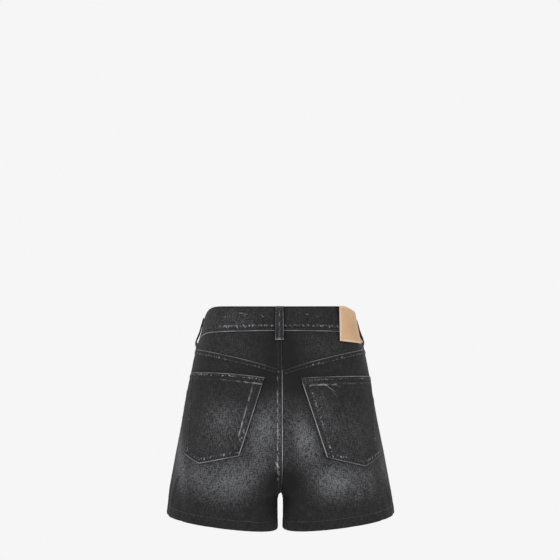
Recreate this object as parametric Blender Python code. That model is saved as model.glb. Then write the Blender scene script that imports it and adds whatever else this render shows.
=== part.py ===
"""Denim shorts with five pockets, in the hollow shape that they keep on a wearer.

The wearer faces -Y, so the back of the shorts is on +Y, and the wearer's left is on +X. Z is up.
The origin is the middle of the waist. Every piece is laid out on one shared surface, the form,
which is the outer face of the leg panels. A point of the form is given by
    turn    the angle round the leg, 0 at the back, 90 degrees at the side, 180 degrees at the front
    level   how far down it is from the top of the waistband at the back.
A piece is a wall between two offsets from the form, and mirrored pieces share one function.
"""

import bmesh
import bpy
import numpy as np
from mathutils import Matrix, Vector

MM = 0.001

# Cloth and seams
CLOTH = 1.4 * MM  # one layer of denim
SEAM_GAP = 0.3 * MM  # between neighbouring pieces
RIDGE = 1.3 * MM  # how far a lapped seam stands up
RIDGE_WIDTH = 8 * MM
HEM_DEPTH = 16 * MM
HEM_FOLD = 1.4 * MM  # the turned-up layer inside the hem

# Overall levels, down from the top of the waistband at the back
WAIST_ORIGIN = 39 * MM  # the level of the origin
CROTCH = 316 * MM
HEM_OUTER, HEM_INNER = 353 * MM, 378 * MM
LEG_GAP = 10 * MM  # between the two legs
LEG_GAP_RISE = 16 * MM  # the gap's rounded top
CROTCH_RISE = 85 * MM  # where the seat starts to divide into two legs
CROTCH_ROUND = 1.25

# Waistband
BAND_HEIGHT = 38 * MM
BAND_EASE = 5 * MM  # the band is this much deeper over the hips
FRONT_DROP = 40 * MM  # how much lower the waist is at the front
BAND_OUT, BAND_IN = 1.5 * MM, 1.7 * MM
BAND_OVERLAP = np.radians(0.8)  # past centre front, on the outside
BAND_UNDERLAP = np.radians(17.0)

# Yoke seam
YOKE_SIDE = 72 * MM
YOKE_DROP = 31.5 * MM  # how much lower the point at centre back is
YOKE_CURVE = 1.7

# The body's sections: level, half width, back face, front face and how square the section is
SECTION_COLUMNS = ("level", "half_width", "back", "front", "square")
SECTIONS = np.array(
    [
        (-10, 120.0, 94, -90, 0.25),
        (18, 127.0, 97, -93, 0.25),
        (58, 137.2, 102, -98, 0.22),
        (78, 144.0, 106, -101, 0.18),
        (108, 150.3, 112, -104, 0.14),
        (160, 159.3, 121, -107, 0.09),
        (211, 168.5, 125, -108, 0.07),
        (262, 178.5, 124, -106, 0.06),
        (314, 188.8, 119, -103, 0.05),
        (355, 192.2, 115, -101, 0.05),
        (400, 194.0, 114, -100, 0.05),
    ]
)

# Soft shapes in the cloth: turn, level, half length round, half length down, lean and height
FOLD_COLUMNS = ("turn_deg", "level_mm", "round_mm", "down_mm", "lean_deg", "height_mm")
FOLDS = np.array(
    [
        (38, 212, 54, 62, 0, 6.5),  # the seat
        (2, 258, 20, 62, 0, -3.0),  # the hollow along the back seam
        (30, 302, 62, 18, -8, -3.6),  # under the seat
        (66, 310, 9, 43, 10, 2.6),  # a flute from the pocket's point to the hem
        (80, 332, 8, 41, 4, -2.4),
        (12, 341, 10, 37, -6, -2.2),
        (-35, 333, 13, 37, -10, 1.8),
        (48, 346, 11, 31, 2, -1.8),
        (14, 294, 34, 6, -24, 1.8),  # drag lines from the crotch
        (24, 277, 40, 6, -20, 1.3),
        (150, 306, 40, 7, 26, 2.2),  # the same at the front
        (140, 285, 46, 7, 20, 1.8),
        (128, 329, 9, 43, -6, 2.4),
        (108, 337, 10, 39, 4, -2.2),
        (165, 333, 12, 35, 8, -2.0),
        (205, 337, 12, 35, 8, 1.6),
        (150, 155, 55, 50, 0, 3.0),  # the belly
    ]
)

# Back pockets: corners as distance round from centre back and level
POCKET_CORNERS = {
    "top_inner": (29.6, 116.0),
    "top_outer": (187.0, 114.5),
    "bottom_outer": (180.0, 247.5),
    "point": (141.0, 261.5),
    "bottom_inner": (72.0, 247.0),
}
POCKET_POINT_AT = 0.37  # the point's place along the bottom, from the outer corner
POCKET_HEM = 11 * MM
POCKET_GAP = 0.9 * MM  # it lies this far off the panel

# Front pocket mouth: a scoop from the band to the side seam
MOUTH_TURN = 52.0  # where it meets the band, in degrees from centre front
MOUTH_DROP = 78 * MM
MOUTH_CURVE = 1.8
FACING_UNDER = 20 * MM
FACING_GAP = 0.8 * MM  # behind the front panel

# Belt loops
LOOP_WIDTH, LOOP_THICK = 14 * MM, 2.0 * MM
LOOP_BOW = 2.8 * MM  # how far its middle stands off the band
LOOP_TACK = 6 * MM  # its ends, sewn down flat
LOOPS = {  # middle, in degrees round the waist from centre back, and length in mm
    "loop_back": (1.6, 54),
    "loop_side_left": (93.0, 49),
    "loop_side_right": (-93.0, 49),
    "loop_front_left": (134.0, 52),
    "loop_front_right": (-134.0, 52),
}

# Leather patch, by distance round from centre back
PATCH_FROM, PATCH_WIDTH = 93.5 * MM, 64 * MM
PATCH_HEIGHT, PATCH_THICK = 56 * MM, 1.8 * MM

# Fly and button
FLY_WIDTH, FLY_LENGTH = 38 * MM, 150 * MM
BUTTON_RADIUS, BUTTON_THICK = 8.5 * MM, 3.2 * MM
SHANK_RADIUS, SHANK_LENGTH = 3.5 * MM, 1.2 * MM

COLOURS = {  # base colour, roughness, metallic
    "denim": ((0.035, 0.035, 0.038), 0.9, 0.0),
    "leather": ((0.56, 0.37, 0.21), 0.6, 0.0),
    "metal": ((0.12, 0.12, 0.125), 0.35, 1.0),
}


def smooth(x):
    """Rises from 0 to 1 as x does, with flat ends."""
    x = np.clip(x, 0.0, 1.0)
    return x * x * (3 - 2 * x)


def section(level, column):
    """A column of SECTIONS at any level, along a smooth curve through its rows."""
    at = SECTIONS[:, 0] * MM
    scale = 1.0 if column == "square" else MM
    values = SECTIONS[:, SECTION_COLUMNS.index(column)] * scale
    slopes = np.gradient(values, at)
    i = np.clip(np.searchsorted(at, level) - 1, 0, len(at) - 2)
    span = at[i + 1] - at[i]
    x = np.clip((level - at[i]) / span, 0.0, 1.0)
    return (
        values[i] * (1 + 2 * x) * (1 - x) ** 2
        + slopes[i] * span * x * (1 - x) ** 2
        + values[i + 1] * x * x * (3 - 2 * x)
        - slopes[i + 1] * span * x * x * (1 - x)
    )


def division(level):
    """How far the seat has divided into two legs: 0 on the hips and 1 from the crotch down."""
    return np.clip((level - CROTCH + CROTCH_RISE) / CROTCH_RISE, 0, 1) ** CROTCH_ROUND


def leg_gap(level):
    """Half the gap between the legs, round at its top."""
    x = np.clip((level - CROTCH) / LEG_GAP_RISE, 0, 1)
    return LEG_GAP / 2 * np.sqrt(1 - (1 - x) ** 2)


def centre_turn(level):
    """The turn, at or below 0, where the section meets the middle plane or the inseam."""
    m, square = division(level), section(level, "square")
    turn = -np.arcsin(m)
    for _ in range(6):
        turn = -np.arcsin(np.clip(m / (1 + square * np.cos(turn) ** 2), 0, 1))
    return turn


def bulge(turn, level):
    """The height of all the soft folds at a point."""
    total = np.zeros(np.broadcast(turn, level).shape)
    around = section(level, "half_width") * 0.85
    for at_deg, at_mm, round_mm, down_mm, lean_deg, height_mm in FOLDS:
        across = (turn - np.radians(at_deg)) * around
        down = level - at_mm * MM
        lean = np.radians(lean_deg)
        u = (across * np.cos(lean) - down * np.sin(lean)) / (round_mm * MM)
        v = (across * np.sin(lean) + down * np.cos(lean)) / (down_mm * MM)
        total += height_mm * MM * np.exp(-(u * u + v * v))
    return total


def form(turn, level):
    """The form's points on the wearer's left half, for arrays of turn and level."""
    turn, level = np.broadcast_arrays(turn, level)
    m = division(level)
    half, inner = section(level, "half_width"), leg_gap(level)
    back, front = section(level, "back"), section(level, "front")
    square = section(level, "square")
    across = np.where(m < 1, half / (1 + m), (half - inner) / 2)
    middle = half - across
    deep = (back - front) / 2
    s, c = np.sin(turn), np.cos(turn)
    x = middle + across * s * (1 + square * c * c)
    y = (back + front) / 2 + deep * c * (1 + square * s * s)
    height = bulge(turn, level)
    clear = smooth(x / (25 * MM))  # the seam at the middle stays in its plane
    x = x + height * s * clear
    y = y + height * c
    return np.stack([x, y, WAIST_ORIGIN - level], axis=-1)


def form_normal(turn, level):
    """Outward normals of the form."""
    step_turn, step_level = 0.002, 0.5 * MM
    along = form(turn + step_turn, level) - form(turn - step_turn, level)
    down = form(turn, level + step_level) - form(turn, level - step_level)
    normal = np.cross(along, down)
    return normal / np.linalg.norm(normal, axis=-1, keepdims=True)


def turn_at(distance, level):
    """The turn at a distance round the form from its middle plane, for arrays of both."""
    found = np.zeros(np.broadcast(distance, level).shape)
    distance, level = np.broadcast_arrays(distance, level)
    for at in np.ndindex(found.shape):
        turn = np.linspace(centre_turn(level[at]), np.pi / 2, 240)
        points = form(turn, np.full_like(turn, level[at]))
        along = np.concatenate([[0], np.cumsum(np.linalg.norm(np.diff(points, axis=0), axis=1))])
        found[at] = np.interp(distance[at], along, turn)
    return found


def band_top(turn):
    """The level of the waistband's top edge."""
    forward = (1 - np.cos(turn)) / 2
    return FRONT_DROP * forward**3 / (forward**3 + (1 - forward) ** 3)


def band_foot(turn):
    """The level of the waistband's lower edge."""
    return band_top(turn) + BAND_HEIGHT + BAND_EASE * np.sin(turn) ** 2


def yoke_seam(turn):
    reach = 1 - np.sin(np.clip(turn, 0, np.pi / 2))
    return YOKE_SIDE + YOKE_DROP * reach**YOKE_CURVE


def pocket_mouth(turn):
    """The front panel's top edge: the band's foot, then the pocket's mouth down to the side."""
    from_side = (turn - np.pi / 2) / (np.pi / 2 - np.radians(MOUTH_TURN))
    return band_foot(turn) + MOUTH_DROP * (1 - np.clip(from_side, 0, 1) ** MOUTH_CURVE)


def hem(turn):
    """The level of the hem, which is one slanting plane round each leg."""
    outward = (1 + np.sin(turn)) / 2
    return HEM_INNER + (HEM_OUTER - HEM_INNER) * outward


def stations(length, start, stop, cells):
    """Distances along a row: set ones near each end, and equal cells between."""
    first, last = np.array(start), length - np.array(stop)[::-1]
    between = np.linspace(first[-1], last[0], cells + 1)[1:-1]
    return np.concatenate([first, between, last])


def lay_row(level_of, turns, start, stop, cells):
    """Turn and level at the stations of one row, which runs through the turns given."""
    found = []
    pairs = list(zip(turns[:-1], turns[1:]))
    for k, (begin, end) in enumerate(pairs):
        turn = np.linspace(begin, end, 400)
        steps = np.diff(form(turn, level_of(turn)), axis=0)
        along = np.concatenate([[0], np.cumsum(np.linalg.norm(steps, axis=1))])
        near = start if k == 0 else (0,)
        far = stop if k == len(pairs) - 1 else (0,)
        at = stations(along[-1], near, far, cells[k])
        found.append(np.interp(at, along, turn)[(k > 0) :])
    turn = np.concatenate(found)
    return turn, level_of(turn)


def new_object(name, mesh_data, material):
    obj = bpy.data.objects.new(name, mesh_data)
    mesh_data.materials.append(material)
    collection.objects.link(obj)
    mesh_data.shade_smooth()
    mesh_data.set_sharp_from_angle(angle=np.radians(50))
    return obj


def wall(name, outer, inner, material):
    """A closed wall: a grid laid on the outer points, its copy on the inner ones, and their rims bridged."""
    rows, columns = outer.shape[:2]
    bm = bmesh.new()
    rims = []
    for points in (outer, inner):
        made = bmesh.ops.create_grid(bm, x_segments=columns - 1, y_segments=rows - 1, size=1)
        for vert, point in zip(made["verts"], points.reshape(-1, 3)):
            vert.co = point
        edges = {e for v in made["verts"] for e in v.link_edges if len(e.link_faces) == 1}
        rims.extend(edges)
    bmesh.ops.bridge_loops(bm, edges=rims)
    bmesh.ops.recalc_face_normals(bm, faces=bm.faces)
    mesh_data = bpy.data.meshes.new(name)
    bm.to_mesh(mesh_data)
    bm.free()
    return new_object(name, mesh_data, material)


def all_round(turn, level):
    """The form's points and normals at any turn: the wearer's right half mirrors the left one."""
    turn = (turn + np.pi) % (2 * np.pi) - np.pi
    points, normal = form(abs(turn), level), form_normal(abs(turn), level)
    points[..., 0] *= np.where(turn < 0, -1, 1)
    normal[..., 0] *= np.where(turn < 0, -1, 1)
    return points, normal


def cloth(name, turn, level, lift, depth, material, side=0):
    """A wall on the form, from depth inside it to lift outside it. side is 1 for a piece of the
    wearer's left half, -1 for one of the right half and 0 for one that turns any way."""
    if side:
        base, normal = form(turn, level), form_normal(turn, level)
    else:
        base, normal = all_round(turn, level)
    faces = []
    for offset in (lift, -depth):
        offset = np.broadcast_to(offset, turn.shape)
        points = base + normal * offset[..., None]
        if side:
            points[..., 0] = side * np.maximum(points[..., 0], SEAM_GAP / 2)
        faces.append(points)
    return wall(name, *faces, material)


def inner_edge(first, last, count):
    """Levels at equal steps along a panel's inner edge, over the crotch curve and down the inseam."""
    level = np.linspace(first, last, 800)
    steps = np.diff(form(centre_turn(level), level), axis=0)
    along = np.concatenate([[0], np.cumsum(np.linalg.norm(steps, axis=1))])
    at = list(np.linspace(0, along[-1], count + 2)[1:-1])
    crotch = np.interp(CROTCH, level, along)
    at[np.argmin(np.abs(np.array(at) - crotch))] = crotch  # one row starts at the crotch
    return np.interp(at, along, level), np.array(at) / along[-1]


def panel_rows(top, is_front, edge, middle_rows, cells, breaks=()):
    """Rows of a leg panel from its top edge to the hem. They start on the crotch curve at equal steps."""
    above_hem = HEM_DEPTH + 1 * MM

    def angle(turn):
        return np.pi - turn if is_front else turn

    def first(turn):
        return top(angle(turn)) + edge[-1]

    def last(turn):
        return hem(turn) - above_hem

    kinds = [("from_top", d, d) for d in edge]
    kinds += [("middle", *pair) for pair in zip(*inner_edge(first(0.0), last(-np.pi / 2), middle_rows))]
    kinds += [("from_hem", d, d) for d in (above_hem, HEM_DEPTH - 1 * MM, 0)]
    turns, levels = [], []
    for kind, value, share in kinds:
        start = centre_turn(value) if kind == "middle" else 0.0
        if kind == "from_hem":
            start = -np.pi / 2

        def level_of(turn, kind=kind, value=value, share=share, start=start):
            if kind == "from_top":
                return top(angle(turn)) + value
            if kind == "from_hem":
                return hem(turn) - value
            from_inner = (value - first(start)) / (last(start) - first(start))
            spread = smooth((turn - start) / (np.pi / 2 - start))
            part = from_inner + (share - from_inner) * spread
            return first(turn) + (last(turn) - first(turn)) * part

        near = (SEAM_GAP / 2, 3 * MM, RIDGE_WIDTH, RIDGE_WIDTH + 3 * MM)
        turn, level = lay_row(
            level_of, [start, *breaks, np.pi / 2], near, (SEAM_GAP / 2, 3 * MM), cells
        )
        turns.append(angle(turn))
        levels.append(level)
    return np.array(turns), np.array(levels)


def row_distances(turn, level):
    """How far each point is along its row from the row's first point."""
    steps = np.linalg.norm(np.diff(form(turn, level), axis=1), axis=2)
    return np.concatenate([np.zeros((len(turn), 1)), np.cumsum(steps, axis=1)], axis=1)


def ridge(distance):
    """A seam's ridge across its width, from 1 at the edge."""
    return 1 - smooth((distance - RIDGE_WIDTH) / (3 * MM))


def back_panel(name, side, material):
    edge = (SEAM_GAP / 2, 3 * MM, RIDGE_WIDTH, RIDGE_WIDTH + 3 * MM)
    turn, level = panel_rows(yoke_seam, False, edge, 13, [18])
    lap = ridge(level - yoke_seam(turn))
    if side > 0:  # the left panel laps over the right one along the back seam
        fade = 1 - smooth((level - CROTCH + 45 * MM) / (35 * MM))
        lap = np.maximum(lap, ridge(row_distances(turn, level)) * fade)
    fold = HEM_FOLD * (hem(turn) - level < HEM_DEPTH)
    return cloth(name, turn, level, RIDGE * lap, CLOTH + fold, material, side)


def front_panel(name, side, material):
    mouth = np.radians(MOUTH_TURN)
    edge = (SEAM_GAP / 2, 10 * MM)
    turn, level = panel_rows(pocket_mouth, True, edge, 14, [9, 8], breaks=(mouth,))
    lap = np.zeros_like(turn)
    if side > 0:  # the fly's folded edge
        fly_end = band_foot(np.pi) + FLY_LENGTH
        lap = ridge(row_distances(turn, level)) * (1 - smooth((level - fly_end) / (20 * MM)))
    fold = HEM_FOLD * (hem(turn) - level < HEM_DEPTH)
    return cloth(name, turn, level, 0.6 * RIDGE * lap, CLOTH + fold, material, side)


def yoke(name, side, material):
    gap = SEAM_GAP / 2
    edge = (gap, 3 * MM, RIDGE_WIDTH, RIDGE_WIDTH + 3 * MM)
    turns, levels = [], []
    for share in np.linspace(0, 1, 5):

        def level_of(turn, share=share):
            top, foot = band_foot(turn) + gap, yoke_seam(turn) - gap
            return top + (foot - top) * share

        turn, level = lay_row(level_of, [0, np.pi / 2], edge, (gap, 3 * MM), [11])
        turns.append(turn)
        levels.append(level)
    turn, level = np.array(turns), np.array(levels)
    lap = ridge(row_distances(turn, level)) if side > 0 else 0 * turn
    return cloth(name, turn, level, RIDGE * lap, CLOTH, material, side)


def pocket_facing(name, side, material):
    """The denim behind the front pocket's mouth, tucked under the front panel."""
    gap = SEAM_GAP / 2
    inner_turn = np.pi - np.radians(MOUTH_TURN) + FACING_UNDER / (section(0.1, "half_width"))
    turns, levels = [], []
    for share in np.linspace(0, 1, 9):

        def level_of(turn, share=share):
            top = band_foot(turn) + gap
            drop = MOUTH_DROP + FACING_UNDER
            return top + drop * share

        turn, level = lay_row(level_of, [np.pi / 2, inner_turn], (gap, 3 * MM), (0,), [6])
        turns.append(turn)
        levels.append(level)
    below = CLOTH + FACING_GAP
    return cloth(name, np.array(turns), np.array(levels), -below, below + CLOTH, material, side)


def fly(name, material):
    """The fly's facing and shield, behind the left front along its edge."""
    rows = np.linspace(0, 1, 10)[:, None]
    columns = np.linspace(0, 1, 5)[None, :]
    top = band_foot(np.pi) + SEAM_GAP
    level = top + (FLY_LENGTH - 4 * MM) * rows + 0 * columns
    narrow = 1 - 0.75 * smooth((rows - 0.72) / 0.28)  # the rounded foot of the J
    width = FLY_WIDTH * narrow * columns + SEAM_GAP
    turn = np.pi - width / section(level, "half_width")
    below = CLOTH + SEAM_GAP
    return cloth(name, turn, level, -below, below + 2 * CLOTH, material, 1)


def waistband(name, material):
    """The band is one strip, and its left end laps over its right end at the front."""
    turn = np.linspace(-np.pi - BAND_UNDERLAP, np.pi + BAND_OVERLAP, 81)[None, :]
    share = np.array([0, 0.06, 0.35, 0.65, 0.94, 1])[:, None]
    height = band_foot(turn) - SEAM_GAP / 2 - band_top(turn)
    level = band_top(turn) + height * share
    turn = turn + 0 * level
    lap = smooth((turn - np.radians(149)) / np.radians(12)) * (BAND_OUT + BAND_IN + SEAM_GAP)
    soft = 0.35 * BAND_OUT * ((share == 0) | (share == 1))  # rounded edges
    return cloth(name, turn, level, BAND_OUT - soft + lap, BAND_IN - soft - lap, material)


def pocket_place(across, down):
    """Distance from centre back and level in a back pocket, for shares across from its inner side and down."""
    corner = {name: np.array(place) * MM for name, place in POCKET_CORNERS.items()}
    across, down = across[..., None], down[..., None]
    top = corner["top_inner"] * (1 - across) + corner["top_outer"] * across
    split = 1 - POCKET_POINT_AT
    first, second = np.clip(across / split, 0, 1), np.clip((across - split) / POCKET_POINT_AT, 0, 1)
    foot = corner["bottom_inner"] * (1 - first) + corner["point"] * first
    foot = foot + (corner["bottom_outer"] - corner["point"]) * second
    place = top * (1 - down) + foot * down
    return place[..., 0], place[..., 1]


def back_pocket(name, side, material):
    side_cells, down_cells = np.array([0, 0.055, 0.08]), np.array([0, 0.075, 0.095])
    across = [*side_cells, *np.linspace(0.08, 0.92, 9)[1:-1], *(1 - side_cells[::-1])]
    down = [*down_cells, *np.linspace(0.095, 0.92, 8)[1:-1], 0.92, 0.945, 1]
    across, down = np.meshgrid(across, down)
    distance, level = pocket_place(across, down)
    turn = turn_at(distance, level)
    edge = (across < 0.06) | (across > 0.94) | (down > 0.94) | (down < 0.08)
    lift = POCKET_GAP + CLOTH * np.where(edge, 1.5, 1.0)
    return cloth(name, turn, level, lift, -POCKET_GAP, material, side)


def belt_loop(name, middle_deg, length, material):
    middle = np.radians(middle_deg)
    side = abs(np.array([middle - 0.01, middle + 0.01]))
    ends = form(side, band_foot(side))
    speed = np.linalg.norm(ends[1] - ends[0]) / 0.02  # metres round the waist for a radian
    turn = middle + LOOP_WIDTH * np.linspace(-0.5, 0.5, 4)[None, :] / speed
    down = np.array([0, 2, LOOP_TACK / MM, 13, 22, 31, 37, 42, length - 6, length - 2, length])
    level = band_top(turn) + down[:, None] * MM
    turn = turn + 0 * level
    on_band = BAND_OUT + SEAM_GAP
    on_yoke = SEAM_GAP + (RIDGE if abs(middle_deg) < 10 else 0)  # the back one is on the seam's ridge
    below_band = smooth((level - band_foot(turn) + 2 * MM) / (5 * MM))
    free = np.clip((down - LOOP_TACK / MM) / (length - 12), 0, 1)[:, None]
    inner = on_band + (on_yoke - on_band) * below_band + LOOP_BOW * np.sin(np.pi * free) ** 0.7
    return cloth(name, turn, level, inner + LOOP_THICK, -inner, material)


def patch(name, material):
    """The leather patch on the wearer's right, over the band and a little of the yoke."""
    distance = PATCH_FROM + PATCH_WIDTH * np.linspace(0, 1, 9)[None, :]
    share = np.linspace(0, 1, 8)[:, None]
    top = band_top(turn_at(distance, 20 * MM))
    level = top + PATCH_HEIGHT * share
    turn = turn_at(distance, level)
    under = BAND_OUT + SEAM_GAP
    return cloth(name, turn, level, under + PATCH_THICK, -under, material, -1)


def button(name, material):
    """A shank button through the band's lapped ends: a domed cap on a short stem."""
    turn = np.pi - np.radians(6.6)
    level = (band_top(turn) + band_foot(turn)) / 2
    lap = BAND_OUT + BAND_IN + SEAM_GAP + BAND_OUT
    place = form(turn, level) + form_normal(turn, level) * (lap + SEAM_GAP)
    profile = [
        (0, 0),
        (SHANK_RADIUS, 0),
        (SHANK_RADIUS, SHANK_LENGTH),
        (BUTTON_RADIUS * 0.94, SHANK_LENGTH),
        (BUTTON_RADIUS, SHANK_LENGTH + 0.7 * MM),
        (BUTTON_RADIUS * 0.94, BUTTON_THICK - 0.4 * MM),
        (BUTTON_RADIUS * 0.72, BUTTON_THICK),
        (0, BUTTON_THICK),
    ]
    bm = bmesh.new()
    verts = [bm.verts.new((r, 0, z)) for r, z in profile]
    edges = [bm.edges.new(pair) for pair in zip(verts[:-1], verts[1:])]
    bmesh.ops.spin(
        bm, geom=verts + edges, cent=(0, 0, 0), axis=(0, 0, 1), angle=2 * np.pi, steps=24
    )
    bmesh.ops.remove_doubles(bm, verts=bm.verts, dist=1e-6)
    bmesh.ops.recalc_face_normals(bm, faces=bm.faces)
    mesh_data = bpy.data.meshes.new(name)
    bm.to_mesh(mesh_data)
    bm.free()
    obj = new_object(name, mesh_data, material)
    facing = Vector(form_normal(turn, level)).to_track_quat("Z", "Y").to_matrix().to_4x4()
    obj.matrix_world = Matrix.Translation(Vector(place)) @ facing
    return obj


def new_material(name):
    colour, roughness, metallic = COLOURS[name]
    material = bpy.data.materials.new(name)
    material.use_nodes = True
    shader = material.node_tree.nodes["Principled BSDF"]
    shader.inputs["Base Color"].default_value = (*colour, 1)
    shader.inputs["Roughness"].default_value = roughness
    shader.inputs["Metallic"].default_value = metallic
    material.diffuse_color = (*colour, 1)
    return material


def build():
    denim, leather, metal = (new_material(n) for n in ("denim", "leather", "metal"))
    for word, side in (("left", 1), ("right", -1)):
        back_panel(f"back_{word}", side, denim)
        front_panel(f"front_{word}", side, denim)
        yoke(f"yoke_{word}", side, denim)
        back_pocket(f"pocket_back_{word}", side, denim)
        pocket_facing(f"pocket_facing_{word}", side, denim)
    fly("fly", denim)
    waistband("waistband", denim)
    for name, (middle_deg, length) in LOOPS.items():
        belt_loop(name, middle_deg, length, denim)
    patch("patch", leather)
    button("button", metal)


for old in list(bpy.data.objects):
    bpy.data.objects.remove(old)
collection = bpy.data.collections.new("denim_shorts")
bpy.context.scene.collection.children.link(collection)
build()
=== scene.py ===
"""Washed black denim shorts, as they stand round an unseen wearer: cloth, sewing, leather patch and button.

The wearer faces -Y and the wearer's left is on +X. Every piece of cloth is laid on one surface, the form,
which is the outer face of the legs. A point of the form is given by
    turn    the angle round the leg: 0 at the back, 90 degrees at the side, 180 degrees at the front
    level   how far down it is from the top of the waistband at the back.
A piece is laid out on the wearer's left half, and one of the right half is mirrored at the end.
"""

import bpy
import numpy as np
from mathutils import Matrix, Vector
from mathutils.bvhtree import BVHTree


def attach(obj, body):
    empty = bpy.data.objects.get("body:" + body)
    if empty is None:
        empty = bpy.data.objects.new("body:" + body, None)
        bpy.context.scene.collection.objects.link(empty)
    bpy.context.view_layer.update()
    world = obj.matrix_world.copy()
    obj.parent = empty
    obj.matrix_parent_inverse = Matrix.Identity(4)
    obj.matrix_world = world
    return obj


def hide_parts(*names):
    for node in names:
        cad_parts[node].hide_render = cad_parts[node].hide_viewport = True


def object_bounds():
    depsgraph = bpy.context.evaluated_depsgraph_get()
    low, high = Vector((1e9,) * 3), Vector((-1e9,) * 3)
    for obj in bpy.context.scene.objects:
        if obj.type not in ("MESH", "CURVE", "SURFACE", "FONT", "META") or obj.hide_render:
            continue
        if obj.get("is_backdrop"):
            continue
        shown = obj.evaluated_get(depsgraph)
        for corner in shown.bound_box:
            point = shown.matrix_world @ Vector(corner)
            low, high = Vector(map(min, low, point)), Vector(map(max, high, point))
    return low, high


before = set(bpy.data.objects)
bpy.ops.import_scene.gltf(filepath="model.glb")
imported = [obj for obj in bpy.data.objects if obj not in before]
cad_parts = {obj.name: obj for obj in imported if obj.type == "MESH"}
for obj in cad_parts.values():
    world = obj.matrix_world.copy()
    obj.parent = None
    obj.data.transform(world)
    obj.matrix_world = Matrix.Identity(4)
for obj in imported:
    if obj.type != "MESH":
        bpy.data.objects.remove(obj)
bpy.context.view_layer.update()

MM = 0.001

# ---------------------------------------------------------------- the form

CLOTH = 1.4 * MM
SEAM_GAP = 0.3 * MM
LAP_HEIGHT, LAP_WIDTH = 1.3 * MM, 8 * MM
HEM_DEPTH = 16 * MM

WAIST_ORIGIN = 39 * MM
CROTCH = 316 * MM
HEM_OUTER, HEM_INNER = 353 * MM, 378 * MM
LEG_GAP, LEG_GAP_RISE = 10 * MM, 16 * MM
CROTCH_RISE, CROTCH_ROUND = 85 * MM, 1.25
MIDDLE_CLEAR = 25 * MM  # nearer than this the folds leave the middle seam in its plane

BAND_HEIGHT, BAND_EASE = 38 * MM, 5 * MM
FRONT_DROP = 40 * MM
BAND_OUT, BAND_IN = 1.5 * MM, 1.7 * MM
BAND_OVERLAP, BAND_UNDERLAP = np.radians(0.8), np.radians(17.0)
BAND_LAP_FROM, BAND_LAP_RISE = np.radians(149), np.radians(12)
INNER_LAP_FROM, INNER_LAP_RISE = np.radians(162.3), np.radians(0.7)  # its inner layer laps later

YOKE_SIDE, YOKE_DROP, YOKE_CURVE = 72 * MM, 31.5 * MM, 1.7

SECTION_COLUMNS = ("level", "half_width", "back", "front", "square")
SECTIONS = np.array(
    [
        (-10, 120.0, 94, -90, 0.25),
        (18, 127.0, 97, -93, 0.25),
        (58, 137.2, 102, -98, 0.22),
        (78, 144.0, 106, -101, 0.18),
        (108, 150.3, 112, -104, 0.14),
        (160, 159.3, 121, -107, 0.09),
        (211, 168.5, 125, -108, 0.07),
        (262, 178.5, 124, -106, 0.06),
        (314, 188.8, 119, -103, 0.05),
        (355, 192.2, 115, -101, 0.05),
        (400, 194.0, 114, -100, 0.05),
    ]
)

# Soft ridges and troughs: turn in degrees, level, size round and down in mm, lean in degrees, height in mm
FOLD_ROUND = 0.85  # the mean radius of a section, as a share of its half width
FOLDS = np.array(
    [
        (38, 212, 54, 62, 0, 6.5),  # the seat
        (2, 258, 20, 62, 0, -3.0),  # the hollow along the back seam
        (30, 302, 62, 18, -8, -3.6),  # under the seat
        (66, 310, 9, 43, 10, 2.6),  # a flute from the pocket's point to the hem
        (80, 332, 8, 41, 4, -2.4),
        (12, 341, 10, 37, -6, -2.2),
        (-35, 333, 13, 37, -10, 1.8),
        (48, 346, 11, 31, 2, -1.8),
        (14, 294, 34, 6, -24, 1.8),  # drag lines from the crotch
        (24, 277, 40, 6, -20, 1.3),
        (150, 306, 40, 7, 26, 2.2),  # the same at the front
        (140, 285, 46, 7, 20, 1.8),
        (128, 329, 9, 43, -6, 2.4),
        (108, 337, 10, 39, 4, -2.2),
        (165, 333, 12, 35, 8, -2.0),
        (205, 337, 12, 35, 8, 1.6),
        (150, 155, 55, 50, 0, 3.0),  # the belly
    ]
)

# Small creases of the worn cloth: the side, 1 for the wearer's left, -1 for the right and 0 for both, and
# then the columns of FOLDS
CREASES = np.array(
    [
        (1, 4, 281, 11, 2.0, 34, 0.8),  # by the back seam, over the crotch
        (1, 7, 290, 13, 2.2, 30, 0.9),
        (1, 18, 301, 22, 2.6, -22, 1.0),
        (1, 27, 318, 24, 3.0, -28, 0.8),
        (1, 58, 296, 3.0, 30, 14, 0.9),
        (1, 71, 322, 3.2, 24, 6, 0.9),
        (1, 40, 330, 3.0, 22, -12, 0.7),
        (1, 86, 250, 3.0, 40, 3, 0.7),
        (1, 84, 150, 16, 3.0, 24, 0.8),
        (1, 88, 118, 14, 2.6, -18, 0.7),
        (-1, 3, 276, 12, 2.1, -30, 0.8),
        (-1, 9, 293, 15, 2.4, -34, 0.9),
        (-1, 22, 308, 25, 2.8, -20, 0.9),
        (-1, 62, 303, 3.2, 28, 10, 1.0),
        (-1, 77, 330, 3.0, 24, -4, 0.8),
        (-1, 35, 326, 3.0, 20, -16, 0.7),
        (-1, 85, 240, 3.2, 36, -3, 0.7),
        (-1, 82, 162, 18, 2.8, 20, 0.8),
        (0, 172, 262, 22, 2.4, -30, 1.1),  # whiskers from the fly, at the front
        (0, 164, 276, 30, 2.8, -24, 1.1),
        (0, 158, 293, 30, 2.8, -16, 1.0),
        (0, 168, 248, 24, 2.4, -36, 0.8),
        (1, 122, 270, 20, 2.8, 12, 0.8),
        (-1, 119, 281, 22, 2.6, 16, 0.8),
        (1, 140, 331, 3.0, 24, 8, 0.8),
        (-1, 146, 326, 3.0, 26, -8, 0.8),
        (0, 106, 176, 20, 3.0, -22, 0.8),
    ]
)

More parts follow.
